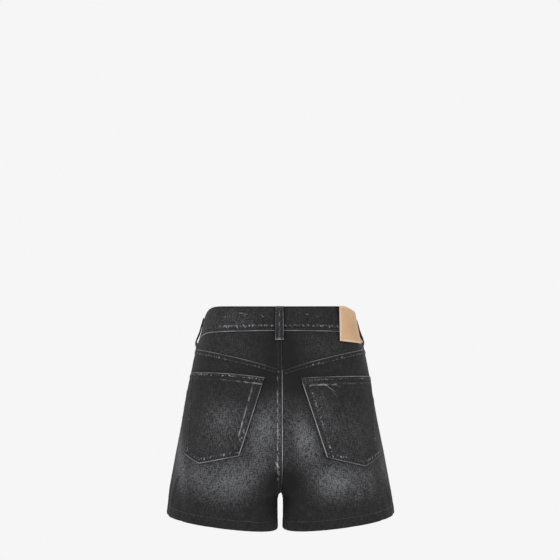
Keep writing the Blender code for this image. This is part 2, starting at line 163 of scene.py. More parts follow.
# Broad one-sided swells, in the creases' columns
SWELLS = np.array(
    [
        (1, 92, 161, 34, 44, 0, 2.0), (1, 92, 240, 34, 46, 0, 1.4),
        (-1, 90, 350, 34, 26, 0, 2.0), (-1, 90, 300, 30, 20, 0, -0.6),
    ]
)


def smooth(x):
    """Rises from 0 to 1 as x does, with flat ends."""
    x = np.clip(x, 0.0, 1.0)
    return x * x * (3 - 2 * x)


def section(level, column):
    """A column of SECTIONS at any level, along a smooth curve through its rows."""
    at = SECTIONS[:, 0] * MM
    scale = 1.0 if column == "square" else MM
    values = SECTIONS[:, SECTION_COLUMNS.index(column)] * scale
    slopes = np.gradient(values, at)
    i = np.clip(np.searchsorted(at, level) - 1, 0, len(at) - 2)
    span = at[i + 1] - at[i]
    x = np.clip((level - at[i]) / span, 0.0, 1.0)
    return (
        values[i] * (1 + 2 * x) * (1 - x) ** 2
        + slopes[i] * span * x * (1 - x) ** 2
        + values[i + 1] * x * x * (3 - 2 * x)
        - slopes[i + 1] * span * x * x * (1 - x)
    )


def division(level):
    """How far the seat has divided into two legs: 0 on the hips and 1 from the crotch down."""
    return np.clip((level - CROTCH + CROTCH_RISE) / CROTCH_RISE, 0, 1) ** CROTCH_ROUND


def leg_gap(level):
    """Half the gap between the legs, round at its top."""
    x = np.clip((level - CROTCH) / LEG_GAP_RISE, 0, 1)
    return LEG_GAP / 2 * np.sqrt(1 - (1 - x) ** 2)


def centre_turn(level):
    """The turn, at or below 0, where the section meets the middle plane or the inseam."""
    m, square = division(level), section(level, "square")
    turn = -np.arcsin(m)
    for _ in range(6):
        turn = -np.arcsin(np.clip(m / (1 + square * np.cos(turn) ** 2), 0, 1))
    return turn


def heights(table, turn, level):
    """The height of a table's soft ridges and troughs at a point."""
    total = np.zeros(np.broadcast(turn, level).shape)
    around = section(level, "half_width") * FOLD_ROUND
    for at_deg, at_mm, round_mm, down_mm, lean_deg, height_mm in table:
        across = (turn - np.radians(at_deg)) * around
        down = level - at_mm * MM
        lean = np.radians(lean_deg)
        u = (across * np.cos(lean) - down * np.sin(lean)) / (round_mm * MM)
        v = (across * np.sin(lean) + down * np.cos(lean)) / (down_mm * MM)
        total += height_mm * MM * np.exp(-(u * u + v * v))
    return total


def form(turn, level):
    """The form's points on the wearer's left half, for arrays of turn and level."""
    turn, level = np.broadcast_arrays(turn, level)
    m = division(level)
    half, inner = section(level, "half_width"), leg_gap(level)
    back, front = section(level, "back"), section(level, "front")
    square = section(level, "square")
    across = np.where(m < 1, half / (1 + m), (half - inner) / 2)
    middle = half - across
    deep = (back - front) / 2
    s, c = np.sin(turn), np.cos(turn)
    x = middle + across * s * (1 + square * c * c)
    y = (back + front) / 2 + deep * c * (1 + square * s * s)
    height = heights(FOLDS, turn, level)
    clear = smooth(x / MIDDLE_CLEAR)
    x = x + height * s * clear
    y = y + height * c
    return np.stack([x, y, WAIST_ORIGIN - level], axis=-1)


def form_normal(turn, level):
    """Outward normals of the form."""
    step_turn, step_level = 0.002, 0.5 * MM
    along = form(turn + step_turn, level) - form(turn - step_turn, level)
    down = form(turn, level + step_level) - form(turn, level - step_level)
    normal = np.cross(along, down)
    return normal / np.linalg.norm(normal, axis=-1, keepdims=True)


def all_round(turn, level):
    """The form's points and normals at any turn: the wearer's right half mirrors the left one."""
    turn = (turn + np.pi) % (2 * np.pi) - np.pi
    points, normal = form(abs(turn), level), form_normal(abs(turn), level)
    points[..., 0] *= np.where(turn < 0, -1, 1)
    normal[..., 0] *= np.where(turn < 0, -1, 1)
    return points, normal


TURN_SAMPLES = 160


def turn_at(distance, level):
    """The turn at a distance round the form from its middle plane, for arrays of both."""
    distance, level = np.broadcast_arrays(distance, level)
    found = np.zeros(distance.shape)
    for at in np.ndindex(found.shape):
        turn = np.linspace(centre_turn(level[at]), np.pi / 2, TURN_SAMPLES)
        points = form(turn, np.full_like(turn, level[at]))
        found[at] = np.interp(distance[at], run_of(points), turn)
    return found


def run_of(points):
    """How far each point of a line is along it."""
    steps = np.linalg.norm(np.diff(points, axis=0), axis=-1)
    return np.concatenate([np.zeros_like(steps[:1]), np.cumsum(steps, axis=0)])


def band_top(turn):
    forward = (1 - np.cos(turn)) / 2
    return FRONT_DROP * forward**3 / (forward**3 + (1 - forward) ** 3)


def band_foot(turn):
    return band_top(turn) + BAND_HEIGHT + BAND_EASE * np.sin(turn) ** 2


def yoke_seam(turn):
    reach = 1 - np.sin(np.clip(turn, 0, np.pi / 2))
    return YOKE_SIDE + YOKE_DROP * reach**YOKE_CURVE


MOUTH_TURN, MOUTH_DROP, MOUTH_CURVE = np.radians(52.0), 78 * MM, 1.8
FACING_UNDER, FACING_GAP = 20 * MM, 0.8 * MM
FACING_RISE, FACING_TOP = 7 * MM, 0.1 * MM  # over what height its top comes out, and how near the form


def pocket_mouth(turn):
    """The front panel's top edge: the band's foot, then the pocket's mouth down to the side."""
    from_side = (turn - np.pi / 2) / (np.pi / 2 - MOUTH_TURN)
    return band_foot(turn) + MOUTH_DROP * (1 - np.clip(from_side, 0, 1) ** MOUTH_CURVE)


def hem(turn):
    """The level of the hem, which is one slanting plane round each leg."""
    return HEM_INNER + (HEM_OUTER - HEM_INNER) * (1 + np.sin(turn)) / 2


# ---------------------------------------------------------------- wash and wear

# Fades of the wash: the kind of piece, the face (1 for the back and -1 for the front), the side as for
# creases, how far out from the middle and the level in mm, the half sizes in x and level in mm, the lean in
# degrees and the amount. A fade below 0 keeps the dye darker there, and at the crotch and between the
# front legs it is painted shade as well.
FADES_AND_SHADES = [
    ("leg", 1, 1, 33, 210, 23, 48, -12, 0.66),  # between the back seam and the pocket
    ("leg", 1, 1, 26, 260, 26, 20, -14, 0.07),
    ("leg", 1, 1, 70, 258, 32, 18, -18, 0.12),
    ("leg", 1, 1, 86, 288, 42, 30, 6, 0.67),  # under the pocket
    ("leg", 1, 1, 146, 272, 30, 34, 0, 0.38),
    ("leg", 1, 1, 172, 214, 7, 60, 4, 0.50),  # along the side seam
    ("leg", 1, 1, 174, 268, 9, 34, 4, 0.18),
    ("leg", 1, 1, 165, 290, 5, 26, 0, 0.20),
    ("leg", 1, -1, 37, 221, 20, 42, -14, 0.76),
    ("leg", 1, -1, 54, 266, 22, 22, -26, -0.03),
    ("leg", 1, -1, 80, 288, 28, 28, -6, 0.68),
    ("leg", 1, -1, 124, 284, 36, 34, 0, 0.36),
    ("leg", 1, -1, 170, 262, 9, 40, -6, 0.24),
    ("leg", 1, -1, 149, 290, 5, 22, 4, 0.16),
    ("leg", 1, 0, 4, 214, 10, 60, 0, 0.16),
    ("leg", 1, 0, 22, 120, 46, 26, 0, -0.10),  # the darker places, which nothing rubbed, with painted shade at the crotch
    # the crotch: darker dye and painted shade
    ("leg", 1, 0, 4, 292, 20, 22, -10, -0.26),
    ("leg", 1, -1, 20, 330, 22, 40, 0, 0.04),
    ("pocket", 1, 1, 96, 188, 36, 34, 0, 0.34),
    ("pocket", 1, 1, 120, 230, 44, 22, 0, 0.12),
    ("pocket", 1, -1, 112, 214, 44, 46, 0, 0.16),
    ("pocket", 1, -1, 68, 172, 16, 40, -18, 0.19),
    ("yoke", 1, 1, 98, 62, 52, 34, 0, 0.06),
    ("yoke", 1, -1, 70, 62, 40, 22, 0, 0.07),
    ("yoke", 1, 0, 6, 74, 28, 46, 0, -0.10),
    ("band", 1, 1, 84, 24, 46, 30, 0, 0.17),
    ("band", 1, -1, 40, 24, 60, 20, 0, 0.02),
    ("band", -1, 0, 60, 60, 90, 20, 0, 0.12),
    ("leg", -1, 1, 92, 226, 44, 70, 6, 0.78),  # the fronts of the thighs
    ("leg", -1, 1, 98, 300, 44, 30, -4, 0.34),
    ("leg", -1, -1, 90, 222, 42, 72, -4, 0.82),
    ("leg", -1, -1, 96, 302, 46, 28, 6, 0.30),
    ("leg", -1, 0, 34, 160, 26, 44, 0, 0.22),
    ("leg", -1, 0, 44, 268, 34, 3.4, -24, 0.24),
    ("leg", -1, 0, 52, 284, 38, 3.6, -18, 0.24),
    ("leg", -1, 0, 60, 302, 36, 3.8, -12, 0.20),
    # between the front legs: darker dye and painted shade
    ("leg", -1, 0, 12, 330, 32, 46, 0, -0.22),
    ("facing", -1, 0, 120, 112, 16, 34, 0, 0.16),
]


def fade_and_shade_amount(what, side, points):
    """How washed out the cloth is at points of the left half, for a piece of the side given. Below 0 it is
    darker: unrubbed dye, and painted shade at the crotch and between the front legs.
    """
    total = np.zeros(len(points))
    facing = smooth(0.5 + points[:, 1] / (70 * MM))
    for kind, face, where, x_mm, level_mm, half_x, half_level, lean_deg, amount in FADES_AND_SHADES:
        if kind != what or (where and where != side):
            continue
        x = abs(points[:, 0]) - x_mm * MM
        down = WAIST_ORIGIN - points[:, 2] - level_mm * MM
        lean = np.radians(lean_deg)
        u = (x * np.cos(lean) + down * np.sin(lean)) / (half_x * MM)
        v = (down * np.cos(lean) - x * np.sin(lean)) / (half_level * MM)
        total += amount * np.exp(-((u * u + v * v) ** 1.1)) * (facing if face > 0 else 1 - facing)
    return total


# Small pale scratches, with the fades' columns up to the level, then length in mm, lean and strength
SCRATCHES = [
    ("leg", 1, 1, 10.5, 257, 7, -50, 0.9), ("leg", 1, 1, 8.0, 261, 7, -48, 0.9),
    ("leg", 1, 1, 12, 264, 5, -56, 0.6), ("leg", 1, 1, 128, 300, 9, 70, 0.4),
    ("leg", 1, 1, 96, 332, 8, 20, 0.4), ("leg", 1, -1, 120, 318, 8, -60, 0.4),
    ("leg", 1, -1, 26, 226, 5, 30, 0.6), ("leg", 1, -1, 62, 300, 7, 75, 0.5),
    ("leg", 1, 1, 60, 232, 6, 80, 0.4), ("pocket", 1, -1, 78, 134, 26, 34, 0.55),
    ("pocket", 1, -1, 86, 144, 18, 44, 0.4), ("pocket", 1, -1, 66, 146, 20, 66, 0.4),
    ("pocket", 1, -1, 92, 131, 12, 20, 0.4), ("pocket", 1, 1, 76, 172, 12, -64, 0.4),
    ("pocket", 1, 1, 118, 206, 14, 4, 0.3), ("yoke", 1, 1, 62, 78, 8, 30, 0.3),
    ("yoke", 1, -1, 84, 66, 8, -50, 0.35), ("yoke", 1, -1, 96, 72, 6, 20, 0.3),
    ("leg", -1, 1, 64, 188, 12, -30, 0.4), ("leg", -1, -1, 82, 252, 10, 20, 0.4),
    ("leg", -1, 1, 100, 282, 9, 64, 0.4),
]
SCRATCH_HALF_WIDTH, BAND_SCRATCH_HALF_WIDTH = 0.9 * MM, 0.8 * MM


def scratch(x, up, length_mm, lean_deg, half_width):
    """A slanting scratch's mark, from 0 to 1, round where x and up are 0."""
    lean = np.radians(lean_deg)
    a, b = x * np.cos(lean) + up * np.sin(lean), up * np.cos(lean) - x * np.sin(lean)
    return np.exp(-((a / (length_mm / 2 * MM)) ** 4) - (b / half_width) ** 2)


def scratch_wear(what, side, points):
    """The wear of the scratches on a piece, at points of the left half."""
    total = np.zeros(len(points))
    for kind, face, where, x_mm, level_mm, length_mm, lean_deg, amount in SCRATCHES:
        if kind == what and where == side:
            x = abs(points[:, 0]) - x_mm * MM
            up = points[:, 2] - WAIST_ORIGIN + level_mm * MM
            mark = scratch(x, up, length_mm, -lean_deg, SCRATCH_HALF_WIDTH)
            total += amount * mark * (points[:, 1] * face > 0)
    return total


def rhythm(along, pitch, seed):
    """An uneven wave along a seam, from about -1 to 1."""
    phases = np.random.default_rng(seed).uniform(0, 2 * np.pi, 4)
    wave = np.zeros_like(along)
    for phase, stretch, weight in zip(phases, (1.0, 1.43, 2.17, 4.3), (0.42, 0.3, 0.26, 0.3)):
        wave += weight * np.sin(2 * np.pi * along / (pitch * stretch) + phase)
    return wave


def bell(distance, at, width):
    return np.exp(-(((distance - at) / width) ** 2))


def proud(puffs):
    """How far puffs of cloth stand out enough to be rubbed, from 0 to 1."""
    return np.clip(puffs - 0.3, 0, 1)


def puff_tops(puffs):
    """The tops of puffs, which are rubbed pale, from 0 to 1."""
    return smooth((puffs - 0.1) / 0.75)


def pillows(distance, along, seed, middle, reach=2.0 * MM, pitch=4.8 * MM):
    """Small puffs of cloth beside stitches, uneven in size, place and lean, from 0 to about 1."""
    rng = np.random.default_rng(seed)
    total = np.zeros(len(along))
    close = np.nonzero(distance < middle + 3 * reach)[0]
    if not len(close):
        return total
    away, at = distance[close] - middle, along[close]
    for k in range(int(at.max() / pitch) + 2):
        u = at - (k + rng.uniform(-0.25, 0.25)) * pitch
        v = away - rng.uniform(-0.35, 0.35) * reach
        lean = rng.uniform(0.1, 1.0) * (1 if k % 2 else -1)
        size, strength = rng.uniform(0.8, 1.2), rng.uniform(0.45, 1.0)
        u, v = (u - lean * v) / (0.27 * pitch * size), v / (reach * size)
        total[close] += strength * np.exp(-(u * u + v * v))
    return total


EDGE_ROUND = 0.7 * MM
ROW_DEPTH, ROW_WIDTH = 0.22 * MM, 0.9 * MM  # the trough that a row of stitches presses
RUBBED_FROM = 0.3  # the wear from which a crevice is rubbed too
PLAIN_RIDGE = ((0, 1.3, 0.3), (1, 1.3, 0.3))


def edge_roll(distance):
    """How far a folded edge has rolled down, close to the fold."""
    x = np.clip(distance / EDGE_ROUND, 0, 1)
    return -EDGE_ROUND * (1 - np.sqrt(1 - (1 - x) ** 2))


NEAR_BATCH = 3000  # points looked at together, to spare memory


class Line:
    """A sewn line or an edge: its points and outward directions on the form of the left half."""

    def __init__(self, points, outward):
        self.points, self.outward = points, outward
        self.along = run_of(points)
        self.length = self.along[-1]

    def near(self, where, reach=26 * MM):
        """The distance to the line and the place along it, for each of many points."""
        distance, along = np.full(len(where), 1.0), np.zeros(len(where))
        low, high = self.points.min(axis=0) - reach, self.points.max(axis=0) + reach
        close = np.nonzero(np.all((where > low) & (where < high), axis=1))[0]
        begin, step = self.points[:-1], np.diff(self.points, axis=0)
        square = np.sum(step * step, axis=1)
        for some in np.array_split(close, len(close) // NEAR_BATCH + 1):
            if not len(some):
                continue
            to = where[some][:, None] - begin[None]
            share = np.clip(np.sum(to * step, axis=2) / square, 0, 1)
            gap = np.sum((to - share[..., None] * step) ** 2, axis=2)
            best = gap.argmin(axis=1)
            pick = np.arange(len(some))
            distance[some] = np.sqrt(gap[pick, best])
            along[some] = self.along[best] + share[pick, best] * (self.along[1:] - self.along[:-1])[best]
        return distance, along

    def up_to(self, share):
        """The line's first part, up to a share along it."""
        keep = self.along <= share * self.length
        return Line(self.points[keep], self.outward[keep])


def line_on_form(turn, level):
    turn, level = np.broadcast_arrays(turn, level)
    return Line(form(turn, level), form_normal(turn, level))


def sewn_edge(
    line, where, seed, rows, wear, lap=0.0, puff_wear=1.1, ridge=PLAIN_RIDGE, puffs=(None, 5.0)
):
    """The relief and the wear that a sewn fold gives to cloth near it: a rolled edge, the lapped layers under
    it, troughs along the rows of stitches and puffs between them. wear gives pairs of a share along the line
    and an amount. ridge gives a share, how far in mm past the last row the folded-in edge shows, and its
    wear. puffs gives how far in they lie and their pitch in mm. Wear below 0 is a crevice: dye that stays
    dark there, and painted shade beside the fold, along the last row and between the puffs."""
    distance, along = line.near(where)
    share = along / line.length
    amount = np.interp(share, *zip(*wear))
    places, pasts, wears = zip(*ridge)
    past, ridge_wear = np.interp(share, places, pasts), np.interp(share, places, wears)
    last = rows[-1]
    height = lap * (1 - smooth((distance - last - 0.6 * MM) / (2.6 * MM))) + edge_roll(distance)
    for row in rows:
        height = height - ROW_DEPTH * bell(distance, row, ROW_WIDTH)
    middle, pitch = (last - 0.8 * MM if puffs[0] is None else puffs[0]), puffs[1] * MM
    puffs = pillows(distance, along, seed, middle, 0.4 * pitch, pitch)
    height = height + 0.5 * MM * (puffs - 0.3 * bell(distance, middle, 4 * MM))
    uneven = 0.88 + 0.22 * rhythm(along, 33 * MM, seed + 7)
    wear_and_shade = amount * uneven * bell(distance, 0.40 * MM, 0.72 * MM)
    patches = np.clip(0.72 + 0.6 * rhythm(along + 2 * distance, 13 * MM, seed + 3), 0, 1.1)
    fold = ridge_wear * amount * patches * bell(distance, last + past * MM, 1.25 * MM)
    height, wear_and_shade = height + 0.2 * MM * fold, wear_and_shade + fold
    patchy = np.clip(0.85 + 0.4 * rhythm(along, 43 * MM, seed + 5), 0.5, 1.2)
    wear_and_shade = wear_and_shade + puff_wear * np.sqrt(amount) * patchy * puff_tops(puffs)
    # painted shade, with dye that stays dark: darker just past the first row, along the last row, and in the
    # hollows between puffs
    dark = 0.95 * bell(distance, 2.1 * MM, 0.9 * MM) + 0.5 * bell(distance, last - 0.4 * MM, 0.9 * MM)
    dark = dark + 0.62 * bell(distance, middle, 0.55 * pitch) * (1 - np.clip(2.5 * puffs, 0, 1))
    return height, np.clip(wear_and_shade - dark * (wear_and_shade < RUBBED_FROM), -1, 1.3)


def plain_seam(line, where, seed, allowance=12 * MM, wear=0.25):
    """A pressed-open seam: a groove at the line and the layers behind it, rubbed along their edge. The groove
    itself is darker, a painted shade.
    """
    distance, along = line.near(where)
    height = edge_roll(distance) + 0.35 * MM * (1 - smooth((distance - allowance) / (2.5 * MM)))
    height = height + 0.22 * MM * rhythm(along, 9 * MM, seed) * bell(distance, 3 * MM, 5 * MM)
    wear_and_shade = bell(distance, allowance, 1.3 * MM) * (0.6 + 0.5 * rhythm(along, 27 * MM, seed + 1))
    wear_and_shade = wear_and_shade + 0.6 * bell(distance, 1.3 * MM, 0.8 * MM) * (0.5 + 0.6 * rhythm(along, 21 * MM, seed + 2))
    return height, np.clip(wear * wear_and_shade, 0, 1) - 0.8 * bell(distance, 0, 0.7 * MM)


def under_edge(line, where, seed, depth=0.8, reach=1.5 * MM):
    """Cloth that runs in under a neighbour's fold: it dips a little, ripples, and is darker beside the fold:
    dye that stays dark there, and painted shade.
    """
    distance, along = line.near(where)
    ripple = rhythm(along, 9 * MM, seed) * bell(distance, 4 * MM, 5 * MM)
    height = 0.18 * MM * ripple - 0.25 * MM * bell(distance, 0, 1.5 * MM)
    return height, 0.15 * np.clip(ripple - 0.3, 0, 1) - depth * bell(distance, 0, reach)


def hem_relief(line, where, seed):
    """The twist of a turned-up hem: slanting ropes below its row of stitches."""
    distance, along = line.near(where)
    inside = smooth(distance / (2 * MM)) * (1 - smooth((distance - HEM_DEPTH + 2 * MM) / (4 * MM)))
    rope = rhythm(along + 0.9 * distance, 13 * MM, seed)
    puffs = pillows(distance, along, seed + 9, 4 * MM, 3.2 * MM, 7 * MM)
    height = 0.30 * MM * rope * inside + 0.25 * MM * puffs - 0.25 * MM * bell(distance, HEM_DEPTH, 1.0 * MM)
    height = height + 0.5 * MM * (1 - smooth((distance - HEM_DEPTH) / (2.5 * MM)))
    patchy = np.clip(0.25 + 0.8 * rhythm(along, 74 * MM, seed + 5), 0, 1)
    at_fold = np.clip(rhythm(along, 11 * MM, seed + 6) - 0.2, 0, 1)
    at_row = np.clip(rhythm(along, 46 * MM, seed + 8) + 0.25, 0, 1)
    wear_and_shade = 0.5 * bell(distance, 0.6 * MM, 1.0 * MM) * at_fold
    wear_and_shade = wear_and_shade + 0.34 * bell(distance, HEM_DEPTH + 0.8 * MM, 0.9 * MM) * at_row
    wear_and_shade = wear_and_shade + 0.42 * patchy * proud(puffs)
    # a little darker just below the row of stitches: dye that stays dark, and painted shade in its trough
    return height, np.clip(wear_and_shade, 0, 1) - 0.25 * bell(distance, HEM_DEPTH - 0.8 * MM, 0.8 * MM)


# ---------------------------------------------------------------- sheets of cloth


def mm_list(*values):
    return [value * MM for value in values]


EDGE_STEPS = mm_list(0.15, 0.4, 0.8, 1.4, 2.2, 3.2, 4.4, 5.6, 6.8, 7.8, 8.6, 9.4, 10.4, 11.6)
PLAIN_STEPS = mm_list(0.15, 0.4, 0.8, 1.6, 2.8, 4.4, 6.4, 8.6, 11.0)
FINE = 2.1 * MM


def spread(length, start, stop, cell=FINE):
    """Places from 0 to length: set ones near both ends, and equal cells about as long as cell between."""
    first, last = np.array(start), length - np.array(stop)[::-1]
    cells = max(2, round((last[0] - first[-1]) / cell))
    return np.concatenate([first, np.linspace(first[-1], last[0], cells + 1)[1:-1], last])


def lay_row(level_of, turns, start, stop, cells):
    """Turn and level along one row, which runs through the turns given."""
    found = []
    pairs = list(zip(turns[:-1], turns[1:]))
    for k, (begin, end) in enumerate(pairs):
        turn = np.linspace(begin, end, 500)
        along = run_of(form(turn, level_of(turn)))
        near = start if k == 0 else (0,)
        far = stop if k == len(pairs) - 1 else (0,)
        first, last = np.array(near), along[-1] - np.array(far)[::-1]
        between = np.linspace(first[-1], last[0], cells[k] + 1)[1:-1]
        at = np.concatenate([first, between, last])
        found.append(np.interp(at, along, turn)[(k > 0) :])
    turn = np.concatenate(found)
    return turn, level_of(turn)


def inner_edge(first, last, count):
    """Levels at equal steps along a leg's inner edge, over the crotch curve and down the inseam."""
    level = np.linspace(first, last, 1600)
    along = run_of(form(centre_turn(level), level))
    at = np.linspace(0, along[-1], count + 2)[1:-1]
    return np.interp(at, along, level), at / along[-1]


HEM_FOLD = 1.5 * MM  # the radius of the hem's fold
TUCK_STEPS, TUCK_DEPTH = mm_list(0.1, 1.5, 4.0), 1.6 * MM  # the front's side edge runs in behind the back's
TURN_STEPS = np.radians([22, 45, 68, 90, 112, 135, 158, 180])
INNER_SHADE = -0.7  # the darkness given to a piece's inner face, which darkens its cut walls towards the inside: painted shade in the gaps between pieces


def lay_rows(level_at, shares, turns, start, stop, cells):
    """Turn and level of a piece whose rows lie at the shares of the way down it."""
    rows = [lay_row(lambda turn, s=share: level_at(turn, s), turns, start, stop, cells) for share in shares]
    return (np.array(part) for part in zip(*rows))


def panel_layout(top, is_front, edge, middle_rows, cells, breaks=()):
    """Turn, level and lift of a leg panel's points, from its top edge to the hem and round the hem's fold,
    and how far each has folded: 0 outside, 1 at the hem's foot and 2 up inside it."""
    hem_steps = mm_list(20, 18.4, 17.2, 16.2, 15.2, 13.8, 12.2, 10.4, 8.6, 6.8, 5.0, 3.4)
    fold_up = mm_list(3, 6, 9, 12, 14.5, 16)

    def angle(turn):
        return np.pi - turn if is_front else turn

    def first(turn):
        return top(angle(turn)) + edge[-1]

    def last(turn):
        return hem(turn) - hem_steps[0]

    kinds = [("from_top", d, d, 0) for d in edge]
    kinds += [
        ("middle", value, share, 0)
        for value, share in zip(*inner_edge(first(0.0), last(-np.pi / 2), middle_rows))
    ]
    kinds += [("from_hem", d, d, 0) for d in hem_steps]
    kinds += [("from_hem", HEM_FOLD * (1 - np.sin(a)), 0, HEM_FOLD * (np.cos(a) - 1)) for a in TURN_STEPS]
    kinds += [("from_hem", HEM_FOLD + d, 0, -2 * HEM_FOLD) for d in fold_up]
    turns, levels, lifts, folds = [], [], [], []
    for kind, value, share, lift in kinds:
        start = centre_turn(value) if kind == "middle" else 0.0
        if kind == "from_hem":
            start = -np.pi / 2

        def level_of(turn, kind=kind, value=value, share=share, start=start):
            if kind == "from_top":
                return top(angle(turn)) + value
            if kind == "from_hem":
                return hem(turn) - value
            from_inner = (value - first(start)) / (last(start) - first(start))
            blend = smooth((turn - start) / (np.pi / 2 - start))
            part = from_inner + (share - from_inner) * blend
            return first(turn) + (last(turn) - first(turn)) * part

        turn, level = lay_row(level_of, [start, *breaks, np.pi / 2], EDGE_STEPS, PLAIN_STEPS, cells)
        row_lift = np.full(len(turn), lift)
        if is_front:
            deep = (section(value, "back") - section(value, "front")) / 2
            tuck = np.pi / 2 + np.array(TUCK_STEPS) / deep
            turn, level = np.append(turn, tuck), np.append(level, level_of(tuck))
            row_lift = np.append(row_lift, lift - TUCK_DEPTH + 0 * tuck)
        turns.append(angle(turn))
        levels.append(level)
        lifts.append(row_lift)
        folds.append(np.full(len(turn), -lift / HEM_FOLD))
    return np.array(turns), np.array(levels), np.array(lifts), np.array(folds)


SHARP_FROM, BUTTON_SHARP_FROM = np.radians(55), np.radians(40)


def flip():
    """Turns all faces of the active piece round."""
    bpy.ops.object.mode_set(mode="EDIT")
    bpy.ops.mesh.select_all(action="SELECT")
    bpy.ops.mesh.flip_normals()
    bpy.ops.object.mode_set(mode="OBJECT")


def vectors_of(mesh, key):
    """A vector of each of a mesh's points, one row each."""
    values = np.zeros(len(mesh.vertices) * 3, dtype=np.float32)
    mesh.vertices.foreach_get(key, values)
    return values.reshape(-1, 3)


def store(mesh, data, shape):
    """Gives a grid the values that its materials read, and u and v as its cut's own coordinates."""
    for layer in list(mesh.uv_layers):
        mesh.uv_layers.remove(layer)
    corner = np.zeros(len(mesh.loops), dtype=np.int32)
    mesh.loops.foreach_get("vertex_index", corner)
    cut = mesh.uv_layers.new(name="cut")
    place = np.stack([data["u"].ravel(), data["v"].ravel()], axis=1)[corner]
    cut.data.foreach_set("uv", place.ravel().astype(np.float32))
    for key in ("wash_and_shade", "wear_and_shade"):
        layer = mesh.attributes.new(key, "FLOAT", "POINT")
        values = np.broadcast_to(data[key], shape)
        layer.data.foreach_set("value", values.ravel().astype(np.float32))
    mesh.update()


def thicken(piece, thickness, last_material, rim):
    """Gives a grid its wall, as thick at each point as stated."""
    most = float(thickness.max())
    shares = np.round(thickness / most, 3)
    group = piece.vertex_groups.new(name="thickness")
    for value in np.unique(shares):
        group.add(np.nonzero(shares == value)[0].tolist(), float(value), "REPLACE")
    wall = piece.modifiers.new("thickness", "SOLIDIFY")
    wall.thickness = most
    wall.offset = -1
    wall.vertex_group = group.name
    wall.material_offset, wall.material_offset_rim = last_material, rim
    bpy.ops.object.modifier_apply(modifier=wall.name)


def sheet_mesh(name, points, thickness, outward, materials, side, data, rim=0):
    """A sheet of cloth: a grid laid on the points, given its thickness inwards. data holds what its
    materials read at each point, and the cut's own coordinates as u and v."""
    rows, columns = points.shape[:2]
    bpy.ops.object.select_all(action="DESELECT")
    bpy.ops.mesh.primitive_grid_add(x_subdivisions=columns - 1, y_subdivisions=rows - 1, size=1)
    piece = bpy.context.object
    piece.name = piece.data.name = name
    mesh = piece.data
    flat = points.reshape(-1, 3).copy()
    if side:
        flat[:, 0] = np.maximum(flat[:, 0], 0)
    mesh.vertices.foreach_set("co", flat.ravel().astype(np.float32))
    store(mesh, data, points.shape[:2])
    if np.sum(vectors_of(mesh, "normal") * outward.reshape(-1, 3)) < 0:
        flip()
    for material in materials:
        mesh.materials.append(material)
    thicken(piece, np.broadcast_to(thickness, points.shape[:2]).ravel(), len(materials) - 1, rim)
    mesh = piece.data
    wear_and_shade = np.zeros(len(mesh.vertices), dtype=np.float32)
    mesh.attributes["wear_and_shade"].data.foreach_get("value", wear_and_shade)
    # the inner face darkens the cut walls: painted shade in the gaps between pieces
    wear_and_shade[rows * columns :] = INNER_SHADE
    mesh.attributes["wear_and_shade"].data.foreach_set("value", wear_and_shade)
    place = vectors_of(mesh, "co")
    if side:
        place[:, 0] = np.maximum(place[:, 0], 0)
        inner = place[rows * columns :]
        inner[flat[:, 0] == 0, 0] = 0  # the halves meet through their whole thickness
    if side < 0:
        place[:, 0] *= -1
    mesh.vertices.foreach_set("co", place.ravel())
    if side < 0:
        flip()
    piece.vertex_groups.clear()
    mesh.shade_smooth()
    mesh.set_sharp_from_angle(angle=SHARP_FROM)
    mesh.update()
    return piece


def add_up(reliefs, shape):
    """The sum of several reliefs, and the strongest of their wear, which wins over crevices."""
    height, bright, dark = np.zeros(shape), np.zeros(shape), np.zeros(shape)
    for lift, wear in reliefs:
        height = height + lift.reshape(shape)
        bright = np.maximum(bright, wear.reshape(shape))
        dark = np.minimum(dark, wear.reshape(shape))
    return height, bright + dark * (1 - np.clip(2 * bright, 0, 1))


def side_heights(table, turn, level, side):
    """The height of the creases or swells that one side of the body has."""
    rows = table[(table[:, 0] == side) | (table[:, 0] == 0)][:, 1:]
    return heights(rows, turn, level)


def crease_wear(height):
    """Ridges of creases are rubbed a little."""
    return 0.5 * np.clip(height / (1.1 * MM) - 0.25, 0, 1)


MEET_FROM = 0.2 * MM  # nearer to the middle than this, a piece's edge is brought onto it
FOLDED_OVER = 1.01  # from here on cloth is up inside the hem, wrong side outwards


def named(kind, side, seed):
    """A side's node and its seed."""
    return (f"{kind}_left", seed) if side > 0 else (f"{kind}_right", seed + 1)


def lay_cloth(node, turn, level, lift, thickness, reliefs, what, side, materials, folded=0.0):
    """Makes one piece of a side from its layout, its reliefs and its wash."""
    name = f"{node}_cloth"
    base, normal = form(turn, level), form_normal(turn, level)
    where = base.reshape(-1, 3)
    height, wear_and_shade = add_up([relief(where) for relief in reliefs], turn.shape)
    creases = side_heights(CREASES, turn, level, side)
    folded = folded + 0 * lift
    turned = folded > FOLDED_OVER
    height = (height + creases) * np.clip(1 - folded, 0, 1)
    swell = side_heights(SWELLS, turn, level, side)
    points = base + normal * (lift + height + swell)[..., None]
    points[..., 0] *= base[..., 0] > MEET_FROM
    wear_and_shade = np.where(turned, 0.0, np.maximum(wear_and_shade, crease_wear(creases) * (wear_and_shade > -0.05)))
    wear_and_shade = wear_and_shade + scratch_wear(what, side, where).reshape(turn.shape) * ~turned
    rows = np.array([run_of(row) for row in base])
    number = sum(map(ord, name))  # shifts the pattern, so that no two pieces show the same cloth
    data = {
        "u": rows[:, -1:] - rows + 0.131 * (number % 17),
        "v": -level + 0.05 * turned + 0.173 * (number % 13),
        "wash_and_shade": fade_and_shade_amount(what, side, where).reshape(turn.shape),
        "wear_and_shade": wear_and_shade,
    }
    outward = normal * np.where(turned, -1, 1)[..., None]
    return dress(sheet_mesh(name, points, thickness, outward, materials, side, data), node)


